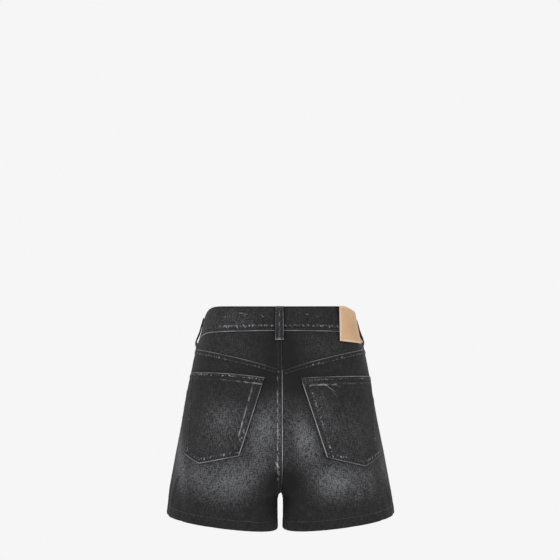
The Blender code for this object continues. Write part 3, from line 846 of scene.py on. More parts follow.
def dress(piece, *nodes, slot="denim"):
    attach(piece, "root")
    if nodes:
        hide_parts(*nodes)
    return piece


# ---------------------------------------------------------------- seams and edges

FULL = np.linspace(0, 1, 361)
LINE_STEPS = np.linspace(0, 1, 241)


def between(start, stop, steps=LINE_STEPS):
    return start + (stop - start) * steps


BACK_LEVELS = between(BAND_HEIGHT, CROTCH)
FRONT_LEVELS = between(FRONT_DROP + BAND_HEIGHT, CROTCH)
QUARTER = between(0, np.pi / 2)
YOKE_LINE = line_on_form(QUARTER, yoke_seam(QUARTER))
BACK_RISE = line_on_form(centre_turn(BACK_LEVELS), BACK_LEVELS)
FRONT_RISE = line_on_form(np.pi - centre_turn(FRONT_LEVELS), FRONT_LEVELS)
SIDE_LINE = line_on_form(np.pi / 2, between(BAND_HEIGHT, HEM_OUTER))
INSEAM = line_on_form(-np.pi / 2, between(CROTCH, HEM_INNER))
HEM_TURNS = between(-np.pi / 2, 3 * np.pi / 2, FULL)
HEM_LINE = line_on_form(HEM_TURNS, hem(HEM_TURNS))
BAND_TURNS = between(0, np.pi)
BAND_LINE = line_on_form(BAND_TURNS, band_foot(BAND_TURNS))
MOUTH_TURNS = between(np.pi / 2, np.pi - MOUTH_TURN)
MOUTH_LINE = line_on_form(MOUTH_TURNS, pocket_mouth(MOUTH_TURNS))

FLY_WIDTH, FLY_LENGTH, FLY_ROUND = 38 * MM, 150 * MM, 34 * MM


def share_at(line, level):
    """The share along a line at which it passes a level."""
    return np.interp(level, WAIST_ORIGIN - line.points[:, 2], line.along / line.length)


LAP_END = [share_at(BACK_RISE, CROTCH - 45 * MM), share_at(BACK_RISE, CROTCH - 10 * MM)]
BACK_RISE_LAP = ((0, 1), (LAP_END[0], 1), (LAP_END[1], 0), (1, 0))
BACK_RISE_WEAR = [
    (share_at(BACK_RISE, level_mm * MM), amount)
    for level_mm, amount in (
        (38, 0.12), (95, 0.3), (114, 0.8), (145, 1.0), (170, 1.15), (250, 1.2), (280, 0.7), (300, 0.1)
    )
]
YOKE_WEAR = ((0, 0.16), (0.12, 0.3), (0.22, 0.62), (0.6, 0.72), (1, 0.66))
FLY_LAP_END = share_at(FRONT_RISE, FRONT_DROP + BAND_HEIGHT + FLY_LENGTH + 10 * MM)

ROW_EDGE, ROW_INNER = TWO_ROWS = 1.6 * MM, 7.3 * MM  # two rows of stitches beside a seam

# Back pockets, by side: corners as distance round from centre back and level
POCKET_CORNERS = {
    1: {
        "top_inner": (29.6, 116.0), "top_outer": (187.0, 112.2), "bottom_outer": (180.0, 246.0),
        "point": (141.0, 259.0), "bottom_inner": (72.0, 244.6),
    },
    -1: {
        "top_inner": (29.6, 116.6), "top_outer": (187.0, 118.5), "bottom_outer": (181.0, 251.5),
        "point": (141.0, 264.5), "bottom_inner": (73.0, 247.4),
    },
}
POCKET_BOW = {1: 4.8 * MM, -1: 2.4 * MM}  # how far the top edge bows up in the middle
POCKET_POINT_AT = 0.37
POCKET_GAP = 0.9 * MM
POCKET_ROW_INNER, POCKET_HEM_ROW = 8.6 * MM, 11 * MM
POCKET_FINE = 1.5 * MM
POCKET_MEAN_SIZE = (0.5 * (157.4 + 108) * MM, 136 * MM)  # about its width and height, to space its cells


def pocket_place(side, across, down):
    """Distance from centre back and level in a back pocket, for shares across from its inner side and
    down."""
    corner = {name: np.array(place) * MM for name, place in POCKET_CORNERS[side].items()}
    across, down = across[..., None], down[..., None]
    top = corner["top_inner"] * (1 - across) + corner["top_outer"] * across
    top = top - np.array([0, POCKET_BOW[side]]) * 4 * across * (1 - across)
    split = 1 - POCKET_POINT_AT
    first, second = np.clip(across / split, 0, 1), np.clip((across - split) / POCKET_POINT_AT, 0, 1)
    foot = corner["bottom_inner"] * (1 - first) + corner["point"] * first
    foot = foot + (corner["bottom_outer"] - corner["point"]) * second
    place = top * (1 - down) + foot * down
    return place[..., 0], place[..., 1]


def placed_line(distance, level):
    """A line through places given by distance round from centre back and level."""
    distance, level = np.broadcast_arrays(distance, level)
    return line_on_form(turn_at(distance, level), level)


SHORT_STEPS = np.linspace(0, 1, 61)


def pocket_lines(side):
    """A back pocket's four edges."""
    steps, none = SHORT_STEPS, 0 * SHORT_STEPS
    places = {"top": (steps, none), "inner": (none, steps)}
    places |= {"outer": (none + 1, steps), "foot": (steps, none + 1)}
    return {name: placed_line(*pocket_place(side, *place)) for name, place in places.items()}


POCKET_LINES = {side: pocket_lines(side) for side in (1, -1)}


def band_level(turn, down):
    """The level on the waistband down from its top edge. The edge stands a little high at the back, and the
    stiff patch pulls it down on the wearer's right."""
    high = smooth((np.radians(80) - abs(turn)) / np.radians(30))
    sag = smooth((-turn - np.radians(42)) / np.radians(22))
    sag = sag * smooth((turn + np.radians(112)) / np.radians(36))
    shift = PATCH_SAG * sag - BACK_RAISE * high
    return band_top(turn) + down + shift * np.clip(1 - down / BAND_HEIGHT, 0, 1)


BACK_LOOP_AT, LOOP_WIDTH = 3.8 * MM, 14 * MM
PATCH_FROM, PATCH_WIDTH, PATCH_HEIGHT, PATCH_THICK = 96.8 * MM, 56 * MM, 56 * MM, 1.8 * MM
PATCH_SAG, BACK_RAISE = 5.0 * MM, 1.6 * MM
LOOP_EDGES = {
    side: placed_line(LOOP_WIDTH / 2 + side * BACK_LOOP_AT, between(BAND_HEIGHT, 54 * MM, SHORT_STEPS))
    for side in (1, -1)
}
PATCH_FOOT = placed_line(between(PATCH_FROM, PATCH_FROM + PATCH_WIDTH, SHORT_STEPS), PATCH_HEIGHT)
PATCH_SIDE = placed_line(PATCH_FROM, between(BAND_HEIGHT, PATCH_HEIGHT, SHORT_STEPS))


# The wear of the back pockets' edges, by side and edge: wear, ridge, puff_wear and puffs, as for sewn_edge
POCKET_OUTER_WEAR = (((0, 0.3), (0.6, 0.4), (1, 0.6)), PLAIN_RIDGE, 0.9, (None, 5.6))
POCKET_FOOT_RIDGE = ((0, 1.3, 0.05), (1, 1.3, 0.05))
POCKET_WEAR = {
    1: {
        "top": (
            ((0, 0.7), (0.35, 0.85), (0.6, 0.75), (1, 0.8)),
            ((0, 0.6, 1.2), (0.3, 0.4, 0.9), (0.5, -1.0, 0.4), (1, -1.8, 0.4)), 1.25, (4.0 * MM, 4.0),
        ),
        "inner": (
            ((0, 0.3), (0.12, 0.6), (0.4, 0.95), (1, 1.2)),
            ((0, 6.0, 0.9), (0.35, 4.6, 1.0), (0.75, 2.2, 0.8), (1, 1.3, 0.2)), 0.5, (5.2 * MM, 7.0),
        ),
        "outer": POCKET_OUTER_WEAR,
        "foot": (((0, 1.0), (0.3, 1.2), (0.7, 1.0), (1, 0.85)), POCKET_FOOT_RIDGE, 0.95, (6.6 * MM, 6.0)),
    },
    -1: {
        "top": (
            ((0, 0.45), (0.2, 0.6), (0.5, 0.85), (1, 0.9)),
            ((0, 1.6, 1.3), (0.3, 2.4, 1.4), (0.42, 2.0, 0.5), (1, 1.0, 0.45)), 1.3, (4.4 * MM, 3.8),
        ),
        "inner": (
            ((0, 0.3), (0.1, 1.1), (1, 1.4)),
            ((0, 2.6, 0.1), (0.3, 2.6, 0.35), (0.65, 2.4, 0.3), (1, 1.3, 0.05)), 0.62, (10.4 * MM, 6.0),
        ),
        "outer": POCKET_OUTER_WEAR,
        "foot": (((0, 0.6), (0.5, 0.8), (1, 0.65)), POCKET_FOOT_RIDGE, 1.1, (6.4 * MM, 5.4)),
    },
}


def lap_thickness(base, laps):
    """A panel's thickness, with the layers under its lapped edges."""
    where = base.reshape(-1, 3)
    total = np.zeros(len(where))
    for line, height, pairs in laps:
        distance, along = line.near(where)
        share = np.interp(along / line.length, *zip(*pairs))
        total = np.maximum(total, height * share * (1 - smooth((distance - LAP_WIDTH) / (3 * MM))))
    return CLOTH + total.reshape(base.shape[:2])


def faded_lap(line, where, seed, rows, wear, lap, lap_pairs, **more):
    """A sewn edge whose lap runs out along the line, with plain puckered cloth past it."""
    with_lap, wear_and_shade = sewn_edge(line, where, seed, rows, wear, lap, **more)
    _, along = line.near(where)
    share = np.interp(along / line.length, *zip(*lap_pairs))
    return with_lap * (0.25 + 0.75 * share), wear_and_shade


def beside_pocket(where, seed, side):
    """The panel next to a pocket's edges: pressed down by the stitches, puffed, and darker beside them: a
    painted shade, narrow at the edge and soft and wide round it.
    """
    height, wear_and_shade = np.zeros(len(where)), np.zeros(len(where))
    for number, (name, depth) in enumerate((("inner", 1.0), ("outer", 0.5), ("foot", 0.95), ("top", 0.5))):
        distance, along = POCKET_LINES[side][name].near(where)
        puffs = pillows(distance, along, seed + number, 4.5 * MM)
        height = height + 0.2 * MM * puffs - 0.2 * MM * bell(distance, 0, 3 * MM)
        wear_and_shade = wear_and_shade + 0.16 * proud(puffs)
        # painted shade beside the pocket's edges: a narrow dark line and a soft wide shadow
        wear_and_shade = wear_and_shade - depth * (1.05 * bell(distance, 0.5 * MM, 1.9 * MM) + 0.24 * bell(distance, 0, 9 * MM))
    return height, wear_and_shade


# ---------------------------------------------------------------- the pieces of cloth

PANEL_ROWS, PANEL_CELLS = 122, 150
INSEAM_ALLOWANCE = 8 * MM
YOKE_CELLS, FACING_ROWS, FACING_CELLS = 118, 46, 42
ONE = ((0, 1), (1, 1))


def leg_edges(seed):
    """The reliefs of a leg panel's side seam, inseam and hem."""
    return [
        lambda at: plain_seam(SIDE_LINE, at, seed + 30),
        lambda at: plain_seam(INSEAM, at, seed + 40, INSEAM_ALLOWANCE),
        lambda at: hem_relief(HEM_LINE, at, seed + 50),
    ]


def back_panel(side, materials):
    node, seed = named("back", side, 11)
    turn, level, lift, folded = panel_layout(yoke_seam, False, EDGE_STEPS, PANEL_ROWS, [PANEL_CELLS])
    reliefs = [
        lambda at: sewn_edge(YOKE_LINE, at, seed, TWO_ROWS, YOKE_WEAR, LAP_HEIGHT, puff_wear=0.9),
        *leg_edges(seed),
        lambda at: beside_pocket(at, seed + 60, side),
    ]
    laps = [(YOKE_LINE, LAP_HEIGHT, ONE)]
    if side > 0:  # the left panel laps over the right one
        laps.append((BACK_RISE, LAP_HEIGHT, BACK_RISE_LAP))
        reliefs.append(
            lambda at: faded_lap(
                BACK_RISE, at, seed + 70, TWO_ROWS, BACK_RISE_WEAR, LAP_HEIGHT, BACK_RISE_LAP,
                puff_wear=0.6, ridge=((0, 1.3, 0.6), (1, 1.3, 0.7)),
            )
        )
    else:
        reliefs.append(lambda at: under_edge(BACK_RISE, at, seed + 70, 0.95, 2.0 * MM))
    thickness = np.where(folded > 0.1, CLOTH, lap_thickness(form(turn, level), laps))
    return lay_cloth(node, turn, level, lift, thickness, reliefs, "leg", side, materials, folded)


def front_panel(side, materials):
    node, seed = named("front", side, 21)
    cells = [round(PANEL_CELLS * 0.53), round(PANEL_CELLS * 0.47)]
    turn, level, lift, folded = panel_layout(pocket_mouth, True, EDGE_STEPS, PANEL_ROWS, cells, (MOUTH_TURN,))
    wear = ((0, 0.9), (0.35, 1.0), (0.8, 0.8), (1, 0.4))
    reliefs = [
        lambda at: sewn_edge(MOUTH_LINE, at, seed, TWO_ROWS, wear),
        lambda at: under_edge(BAND_LINE, at, seed + 10, 0.9, 2.2 * MM),
        *leg_edges(seed),
        lambda at: fly_puffs(at, seed + 60, side),
    ]
    laps = []
    if side > 0:
        lap_pairs = ((0, 1), (FLY_LAP_END, 1), (min(1, FLY_LAP_END + 0.12), 0.3), (1, 0))
        wear_pairs = ((0, 0.35), (0.5, 0.7), (0.85, 0.5), (1, 0.1))
        laps = [(FRONT_RISE, 0.6 * LAP_HEIGHT, lap_pairs)]
        reliefs.append(
            lambda at: faded_lap(
                FRONT_RISE, at, seed + 70, TWO_ROWS, wear_pairs, 0.6 * LAP_HEIGHT, lap_pairs
            )
        )
    else:
        reliefs.append(lambda at: under_edge(FRONT_RISE, at, seed + 70, 0.7))
    thickness = np.where(folded > 0.1, CLOTH, lap_thickness(form(turn, level), laps))
    return lay_cloth(node, turn, level, lift, thickness, reliefs, "leg", side, materials, folded)


def fly_path(inset):
    """Turn and level of the J of stitches that holds the fly, inset from its outer row."""
    start, corner = FRONT_DROP + BAND_HEIGHT, FLY_ROUND - inset
    width, foot = FLY_WIDTH - 3 * MM - inset, start + FLY_LENGTH - 6 * MM - inset
    straight = between(start, foot - corner, np.linspace(0, 1, 80))
    bend = between(0, np.pi / 2, np.linspace(0, 1, 60))[1:]
    level = np.concatenate([straight, foot - corner + corner * np.sin(bend)])
    distance = np.concatenate([width + 0 * straight, width - corner + corner * np.cos(bend)])
    distance = np.maximum(distance, 1.5 * MM)
    turn = np.pi - distance / (section(level, "half_width") * (1 + section(level, "square")))
    return turn, level


FLY_LINE = line_on_form(*fly_path(0))


def fly_puffs(where, seed, side):
    """Puffs along the J of stitches on the left front."""
    if side < 0:
        return np.zeros(len(where)), np.zeros(len(where))
    distance, along = FLY_LINE.near(where)
    puffs = pillows(distance, along, seed, 3 * MM)
    ridge = 0.45 * MM * (1 - smooth((distance - 1.2 * MM) / (2 * MM)))
    wear_and_shade = 0.45 * proud(puffs) + 0.3 * bell(distance, 1.6 * MM, 1.0 * MM)
    return 0.28 * MM * puffs + ridge, wear_and_shade


def yoke(side, materials):
    node, seed = named("yoke", side, 31)
    longest = YOKE_SIDE + YOKE_DROP - BAND_HEIGHT
    ends = mm_list(0, 0.5, 1.2, 2.4, 4)

    def level_at(turn, share):
        top, foot = band_foot(turn) + SEAM_GAP / 2, yoke_seam(turn) - SEAM_GAP / 2
        return top + (foot - top) * share

    shares = spread(longest, ends, ends) / longest
    turn, level = lay_rows(level_at, shares, [0, np.pi / 2], EDGE_STEPS, PLAIN_STEPS, [YOKE_CELLS])
    reliefs = [
        lambda at: under_edge(YOKE_LINE, at, seed),
        lambda at: under_edge(BAND_LINE, at, seed + 10, 0.95, 2.4 * MM),
        # painted shadow of the belt loop on the yoke beside it
        lambda at: under_edge(LOOP_EDGES[side], at, seed + 20, 0.8, 2.0 * MM),
        lambda at: plain_seam(SIDE_LINE, at, seed + 30),
    ]
    # painted shadow of the leather patch on the yoke below and beside it
    if side < 0:
        for edge in (PATCH_FOOT, PATCH_SIDE):
            reliefs.append(lambda at, edge=edge: under_edge(edge, at, seed, 1.0, 2.8 * MM))
    laps = []
    if side > 0:
        laps = [(BACK_RISE, LAP_HEIGHT, ONE)]
        reliefs.append(
            lambda at: sewn_edge(
                BACK_RISE, at, seed + 70, TWO_ROWS, BACK_RISE_WEAR, LAP_HEIGHT,
                puff_wear=0.6, ridge=((0, 1.3, 0.5), (1, 1.3, 0.5)),
            )
        )
    else:
        reliefs.append(lambda at: under_edge(BACK_RISE, at, seed + 70, 0.5))
    thickness = lap_thickness(form(turn, level), laps)
    return lay_cloth(node, turn, level, 0 * turn, thickness, reliefs, "yoke", side, materials)


def pocket_facing(side, materials):
    node, seed = named("pocket_facing", side, 41)
    inner_turn = np.pi - MOUTH_TURN + FACING_UNDER / section(0.1, "half_width")

    def level_at(turn, share):
        return band_foot(turn) + SEAM_GAP / 2 + (MOUTH_DROP + FACING_UNDER) * share

    shares, turns = np.linspace(0, 1, FACING_ROWS), [np.pi / 2, inner_turn]
    turn, level = lay_rows(level_at, shares, turns, PLAIN_STEPS, mm_list(0, 2), [FACING_CELLS])
    behind = CLOTH + FACING_GAP
    at_band = 1 - smooth((level - band_foot(turn)) / FACING_RISE)
    in_mouth = smooth((pocket_mouth(turn) - band_foot(turn) - 2 * MM) / FACING_RISE)
    lift = -behind + (behind - FACING_TOP) * at_band * in_mouth  # its top comes out to the band's seam

    def half_seam(at):
        height, wear_and_shade = plain_seam(SIDE_LINE, at, seed)
        return 0.5 * height, wear_and_shade

    return lay_cloth(node, turn, level, lift, CLOTH, [half_seam], "facing", side, materials)


def fly(materials):
    """The fly's facing and shield, two layers behind the left front."""
    rows, columns = np.linspace(0, 1, 72)[:, None], np.linspace(0, 1, 22)[None, :]
    top = band_foot(np.pi) + SEAM_GAP
    level = top + (FLY_LENGTH - 4 * MM) * rows + 0 * columns
    narrow = 1 - 0.75 * smooth((rows - 0.72) / 0.28)
    width = FLY_WIDTH * narrow * columns + SEAM_GAP
    turn = np.pi - width / section(level, "half_width")
    lift = np.full(turn.shape, -(CLOTH + SEAM_GAP))
    return lay_cloth("fly", turn, level, lift, 2 * CLOTH, [], "facing", 1, materials)


def back_pocket(side, materials):
    node, seed = named("pocket_back", side, 51)
    ends = [0, *EDGE_STEPS]
    across, down = np.meshgrid(*(spread(size, ends, ends, POCKET_FINE) / size for size in POCKET_MEAN_SIZE))
    distance, level = pocket_place(side, across, down)
    turn = turn_at(distance, level)
    lines = POCKET_LINES[side]

    def pocket_edge(at, number, name):
        rows = (ROW_EDGE, POCKET_HEM_ROW if name == "top" else POCKET_ROW_INNER)
        wear, ridge, puff_wear, puffs = POCKET_WEAR[side][name]
        return sewn_edge(lines[name], at, seed + 10 * number, rows, wear, 0.0, puff_wear, ridge, puffs)

    reliefs = [lambda at, k=k, name=name: pocket_edge(at, k, name) for k, name in enumerate(lines)]
    where = form(turn, level).reshape(-1, 3)
    nearest = np.min([line.near(where)[0] for line in lines.values()], axis=0).reshape(turn.shape)
    doubled = 0.5 * CLOTH * (1 - smooth((nearest - POCKET_ROW_INNER - 0.4 * MM) / (2 * MM)))
    gape = 1.0 * MM * np.sin(np.pi * across) ** 2 * (1 - smooth(down / 0.45))
    lift = POCKET_GAP + CLOTH + doubled + gape
    return lay_cloth(node, turn, level, lift, CLOTH + doubled, reliefs, "pocket", side, materials)


BAND_ROW_TOP, BAND_ROW_FOOT = 4.6 * MM, 2.2 * MM
BAND_CELLS = 560
BAND_OVERHANG = 1.3 * MM  # how far its outer layer reaches over the cloth below
FRONT_REACH = 95 * MM  # about how far the band's lapped ends are from the middle of the waist
BAND_WEAR = np.array(  # distance round from centre back in mm, the wear of its foot and of the puffs over it
    [
        (-410, 0.5, 0.5), (-200, 0.6, 0.6), (-150, 0.85, 0.7), (-10, 0.85, 0.7), (10, 0.6, 0.7),
        (25, 1.0, 1.0), (90, 1.0, 0.95), (105, 0.95, 0.6), (150, 1.25, 0.6), (200, 0.8, 0.6), (410, 0.5, 0.5),
    ]
)
BAND_SCRATCHES = [  # small pale marks: distance round from centre back, down from the top, length and lean
    (63, 12.5, 12, 10), (71, 11, 7, 4), (33, 15.5, 11, 34), (27, 12, 5, 40), (96, 17, 6, -20),
    (-42, 13, 8, -8), (-58, 16, 6, 12), (-30, 10, 5, -30), (120, 14, 9, 14), (-140, 15, 10, 6),
    (180, 14, 7, -12), (-210, 16, 9, 18), (250, 12, 8, -6), (-290, 15, 7, 20), (330, 16, 6, 10),
]


def band_rows(turn, height):
    """The band's rows, up its outer face, round the fold at its top and down its inner face: level, lift and
    way down at each point, whether a row is outside, and how far in each row is."""
    radius = (BAND_OUT + BAND_IN) / 2
    shares = spread(1, (0, 0.012, 0.03, 0.06, 0.1, 0.15, 0.2), (0, 0.04, 0.075, 0.12, 0.16), 0.045)
    rows = [("out", share) for share in shares]
    rows += [("fold", a) for a in np.radians([30, 60, 90, 120, 150])]
    rows += [("in", share) for share in np.linspace(0.04, 1, 14)]
    levels, lifts, downs = [], [], []
    for kind, value in rows:
        if kind == "fold":
            down = radius * (1 - np.sin(value)) + 0 * turn
            lift = BAND_OUT - radius + radius * np.cos(value) + 0 * turn
        else:
            reach = height - radius + (BAND_OVERHANG if kind == "out" else 0)
            down = radius + reach * (value if kind == "in" else 1 - value)
            lift = (BAND_OUT if kind == "out" else -BAND_IN) + 0 * turn
        levels.append(band_level(turn, down))
        lifts.append(lift)
        downs.append(down)
    outside = np.array([kind == "out" for kind, _ in rows])[:, None]
    inward = np.array([{"out": 0, "fold": (1 - np.cos(value)) / 2, "in": 1}[kind] for kind, value in rows])
    return np.array(levels), np.array(lifts), np.array(downs), outside, inward[:, None]


def band_relief(along, down, to_foot, puffs, top_puffs):
    """The band's sewn edges and its soft waves."""
    relief = edge_roll(to_foot) + 0.4 * MM * puffs + 0.14 * MM * top_puffs
    relief = relief - ROW_DEPTH * bell(down, BAND_ROW_TOP, ROW_WIDTH)
    relief = relief - 0.24 * MM * bell(to_foot, BAND_ROW_FOOT, ROW_WIDTH)
    return relief + 0.35 * MM * rhythm(along + 0.5 * down, 41 * MM, 63) * bell(down, 20 * MM, 14 * MM)


def band_wear(along, down, to_foot, puffs, top_puffs):
    """Where the band is rubbed, above 0, and where it is darker, below 0: dye that stays dark along its rows
    and edges, with painted shade there, and painted shadow beside the back belt loop and the leather patch.
    """
    foot_wear, puff_wear = (np.interp(along / MM, BAND_WEAR[:, 0], BAND_WEAR[:, k]) for k in (1, 2))
    wear_and_shade = foot_wear * bell(to_foot, 0.5 * MM, 0.75 * MM) * (0.9 + 0.2 * rhythm(along, 37 * MM, 64))
    wear_and_shade = wear_and_shade + 0.72 * puff_wear * puff_tops(puffs) + 0.3 * np.clip(top_puffs - 0.5, 0, 1)
    uneven = 0.8 + 0.5 * rhythm(along, 37 * MM, 66)
    wear_and_shade = wear_and_shade + 0.34 * puff_wear * bell(to_foot, 9.2 * MM, 1.9 * MM) * uneven
    for round_mm, down_mm, length_mm, lean_deg in BAND_SCRATCHES:
        x, up = along - round_mm * MM, -(down - down_mm * MM)
        wear_and_shade = wear_and_shade + 0.5 * scratch(x, up, length_mm, lean_deg, BAND_SCRATCH_HALF_WIDTH)
    dark = 0.5 * bell(to_foot, 2.6 * MM, 1.0 * MM) + 0.35 * bell(down, BAND_ROW_TOP, 0.9 * MM)
    dark = dark + 0.35 * bell(to_foot, 5.0 * MM, 2.6 * MM) + 0.7 * bell(down, 0, 1.8 * MM)
    # painted shadow beside the back belt loop and beside the leather patch
    dark = dark + 0.7 * bell(abs(along - BACK_LOOP_AT), LOOP_WIDTH / 2 + 0.6 * MM, 2.0 * MM)
    dark = dark + bell(along, -PATCH_FROM, 3.0 * MM)
    return wear_and_shade - dark * (wear_and_shade < RUBBED_FROM)


def waistband(materials):
    """One strip folded over at its top, with its left end lapped over its right end at the front."""
    turn = np.linspace(-np.pi - BAND_UNDERLAP, np.pi + BAND_OVERLAP, BAND_CELLS)
    points, _ = all_round(turn, band_top(turn) + BAND_HEIGHT / 2)
    along = run_of(points)
    along = along - np.interp(0, turn, along)
    height = band_foot(turn) - SEAM_GAP / 2 - band_top(turn)
    level, lift, down, outside, inward = band_rows(turn, height)
    turn = turn[None, :] + 0 * level
    along = along[None, :] + 0 * level
    to_foot = height[None, :] + BAND_OVERHANG * outside - down
    early = smooth((turn - BAND_LAP_FROM) / BAND_LAP_RISE)
    late = smooth((turn - INNER_LAP_FROM) / INNER_LAP_RISE)
    lap = (early + (late - early) * inward) * (BAND_OUT + BAND_IN + SEAM_GAP)
    puffs, top_puffs = (
        pillows(away.ravel(), (along - along.min()).ravel(), seed, middle, reach).reshape(along.shape)
        for away, seed, middle, reach in ((to_foot, 61, 7.6 * MM, 2.6 * MM), (down, 62, 8 * MM, 2.4 * MM))
    )
    end = np.minimum(abs(turn - turn.min()), abs(turn.max() - turn)) * FRONT_REACH
    relief = band_relief(along, down, to_foot, puffs, top_puffs) + edge_roll(end)
    base, normal = all_round(turn, level)
    points = base + normal * (lift + lap + relief * outside)[..., None]
    wear_and_shade = band_wear(along, down, to_foot, puffs, top_puffs)
    flat = base.reshape(-1, 3)
    wash_and_shade = np.where(turn > 0, *(fade_and_shade_amount("band", s, flat).reshape(turn.shape) for s in (1, -1)))
    # inside, just under the top fold, darker: painted shade
    wear_and_shade = np.where(outside, np.clip(wear_and_shade, -1, 1.3), INNER_SHADE * bell(down, 0, 3 * MM))
    data = {"u": along, "v": -down * np.where(outside, 1, -1), "wash_and_shade": wash_and_shade * outside, "wear_and_shade": wear_and_shade}
    outward = normal * np.where(lift > -0.1 * MM, 1.0, -1.0)[..., None]
    piece = sheet_mesh("waistband_cloth", points, CLOTH, outward, materials, 0, data)
    return dress(piece, "waistband")


LOOP_THICK, LOOP_BOW, LOOP_TACK = 2.0 * MM, 2.4 * MM, 4 * MM
LOOPS = {  # middle, in degrees round the waist from centre back, and length in mm
    "loop_back": (1.6, 54),
    "loop_side_left": (93.0, 49),
    "loop_side_right": (-93.0, 49),
    "loop_front_left": (134.0, 52),
    "loop_front_right": (-134.0, 52),
}
LOOP_ROWS = 4.3 * MM  # its stitches, either side of its middle
LOOP_TURN = 0.01  # a small turn, to measure along the band


def round_speed(middle):
    """How far round the waist one radian is, at a turn."""
    side = abs(np.array([middle - LOOP_TURN, middle + LOOP_TURN]))
    ends = form(side, band_foot(side))
    return np.linalg.norm(ends[1] - ends[0]) / (2 * LOOP_TURN)


def belt_loop(number, name, middle_deg, length_mm, materials):
    middle, length = np.radians(middle_deg), length_mm * MM
    speed, half = round_speed(middle), LOOP_WIDTH / 2
    sides, tips = mm_list(0, 0.15, 0.4, 0.8, 1.4), mm_list(0, 0.2, 0.6, 1.2, 2)
    across = spread(LOOP_WIDTH, sides, sides, 0.8 * MM) - half
    down = spread(length, tips, tips, 1.3 * MM)
    x, y = np.meshgrid(across, down)
    turn = middle + x / speed
    level = band_level(turn, y)
    on_band = BAND_OUT + SEAM_GAP
    on_yoke = SEAM_GAP + (LAP_HEIGHT if abs(middle_deg) < 10 else 0)
    below_band = smooth((level - band_foot(turn) + 2 * MM) / (5 * MM))
    free = smooth((y - LOOP_TACK) / (8 * MM)) * smooth((length - LOOP_TACK + 2 * MM - y) / (7 * MM))
    bow = LOOP_BOW * (0.25 + 0.75 * bell(y, length - 12 * MM, 11 * MM)) * free
    under = on_band + (on_yoke - on_band) * below_band + bow
    edge = np.minimum(half - abs(x), np.minimum(y, length - y))
    puffs = rhythm(y + 0.2 * x, 5.6 * MM, 70 + number) * bell(abs(x), LOOP_ROWS, 2.4 * MM)
    relief = edge_roll(edge) - 0.42 * MM * bell(abs(x), LOOP_ROWS, 1.0 * MM) + 0.24 * MM * puffs
    relief = relief + 0.35 * MM * bell(x, 0, 2.2 * MM) - 0.3 * MM * bell(y, length - 3.2 * MM, 1.4 * MM)
    relief = relief - 0.25 * MM * bell(y, 3 * MM, 1.4 * MM)
    base, normal = all_round(turn, level)
    points = base + normal * (under + LOOP_THICK + relief)[..., None]
    uneven = np.clip(0.55 + 0.6 * rhythm(y + 20 * x, 17 * MM, 80 + number), 0.1, 1)
    wear_and_shade = 0.75 * bell(edge, 0.45 * MM, 0.7 * MM) * uneven
    streak = np.clip(0.6 + 0.7 * rhythm(y, 15 * MM, 90 + number), 0, 1)
    wear_and_shade = wear_and_shade + 0.62 * bell(x, 0.6 * MM + 0.2 * y / length * MM, 1.2 * MM) * streak
    foot = np.clip(0.55 + 0.7 * rhythm(x, 3.4 * MM, 100 + number), 0.1, 1)
    wear_and_shade = wear_and_shade + 0.4 * np.clip(puffs - 0.1, 0, 1) + 0.7 * bell(y, length - 0.8 * MM, 0.9 * MM) * foot
    # darker along its rows of stitches: dye that stays dark, and painted shade in their troughs
    wear_and_shade = wear_and_shade - 0.75 * bell(abs(x), LOOP_ROWS - 0.4 * MM, 1.3 * MM) * (wear_and_shade < RUBBED_FROM)
    data = {"u": x + 0.05 * number, "v": -y, "wash_and_shade": 0.13 + 0 * x, "wear_and_shade": np.clip(wear_and_shade, -1, 1)}
    piece = sheet_mesh(f"{name}_cloth", points, LOOP_THICK, normal, materials, 0, data)
    return dress(piece, name)


# ---------------------------------------------------------------- patch and button

PATCH_ROW = 3.0 * MM
PATCH_TURN_LEVEL = 20 * MM  # the level at which its place round the band is taken


def patch_level(top, x, y):
    """The level on the patch, whose foot hangs a little lower at its outer end."""
    share = y / PATCH_HEIGHT
    corner = PATCH_HEIGHT + band_top(turn_at(np.full(1, PATCH_FROM), PATCH_TURN_LEVEL))
    foot = corner + (0.6 + 6.4 * x / PATCH_WIDTH) * MM
    return top * (1 - share) + foot * share


def patch(materials):
    """The leather patch on the wearer's right, over the band and a little of the yoke."""
    steps = mm_list(0, 0.12, 0.35, 0.7, 1.2, 2.0, 2.6, 3.0, 3.4, 4.2)
    across = spread(PATCH_WIDTH, steps, steps, 2 * MM)
    down = spread(PATCH_HEIGHT, steps, steps, 2 * MM)
    distance = PATCH_FROM + across
    top = band_level(-turn_at(distance, PATCH_TURN_LEVEL), 0)
    x, y = np.meshgrid(across, down)
    level = patch_level(top[None, :], x, y)
    turn = turn_at(PATCH_FROM + x, level)
    edge = np.minimum(np.minimum(x, PATCH_WIDTH - x), np.minimum(y, PATCH_HEIGHT - y))
    corner = smooth((abs(x / PATCH_WIDTH - 0.5) + abs(y / PATCH_HEIGHT - 0.5) - 0.72) / 0.28)
    groove = 0.28 * MM * bell(edge, PATCH_ROW, 0.9 * MM)
    pillow = 0.3 * MM * smooth(edge / (9 * MM))
    waves = 0.35 * MM * np.sin(x / (17 * MM) + 0.6) * np.sin(y / (13 * MM) + 1.1)
    under = BAND_OUT + SEAM_GAP
    lift = under + PATCH_THICK + 0.7 * edge_roll(edge) - groove + pillow + waves * smooth(edge / (6 * MM))
    lift = lift + 0.5 * MM * corner
    outward = form_normal(turn, level)
    points = form(turn, level) + outward * lift[..., None]
    data = {"u": x, "v": -y, "wash_and_shade": 0 * x, "wear_and_shade": bell(edge, 1.3 * MM, 1.2 * MM)}
    # rim=1 puts the near-black edge finish on the patch's side walls: painted shadow between the patch and
    # the band
    piece = sheet_mesh("patch_leather", points, PATCH_THICK, outward, materials, -1, data, rim=1)
    return dress(piece, "patch", slot="leather")


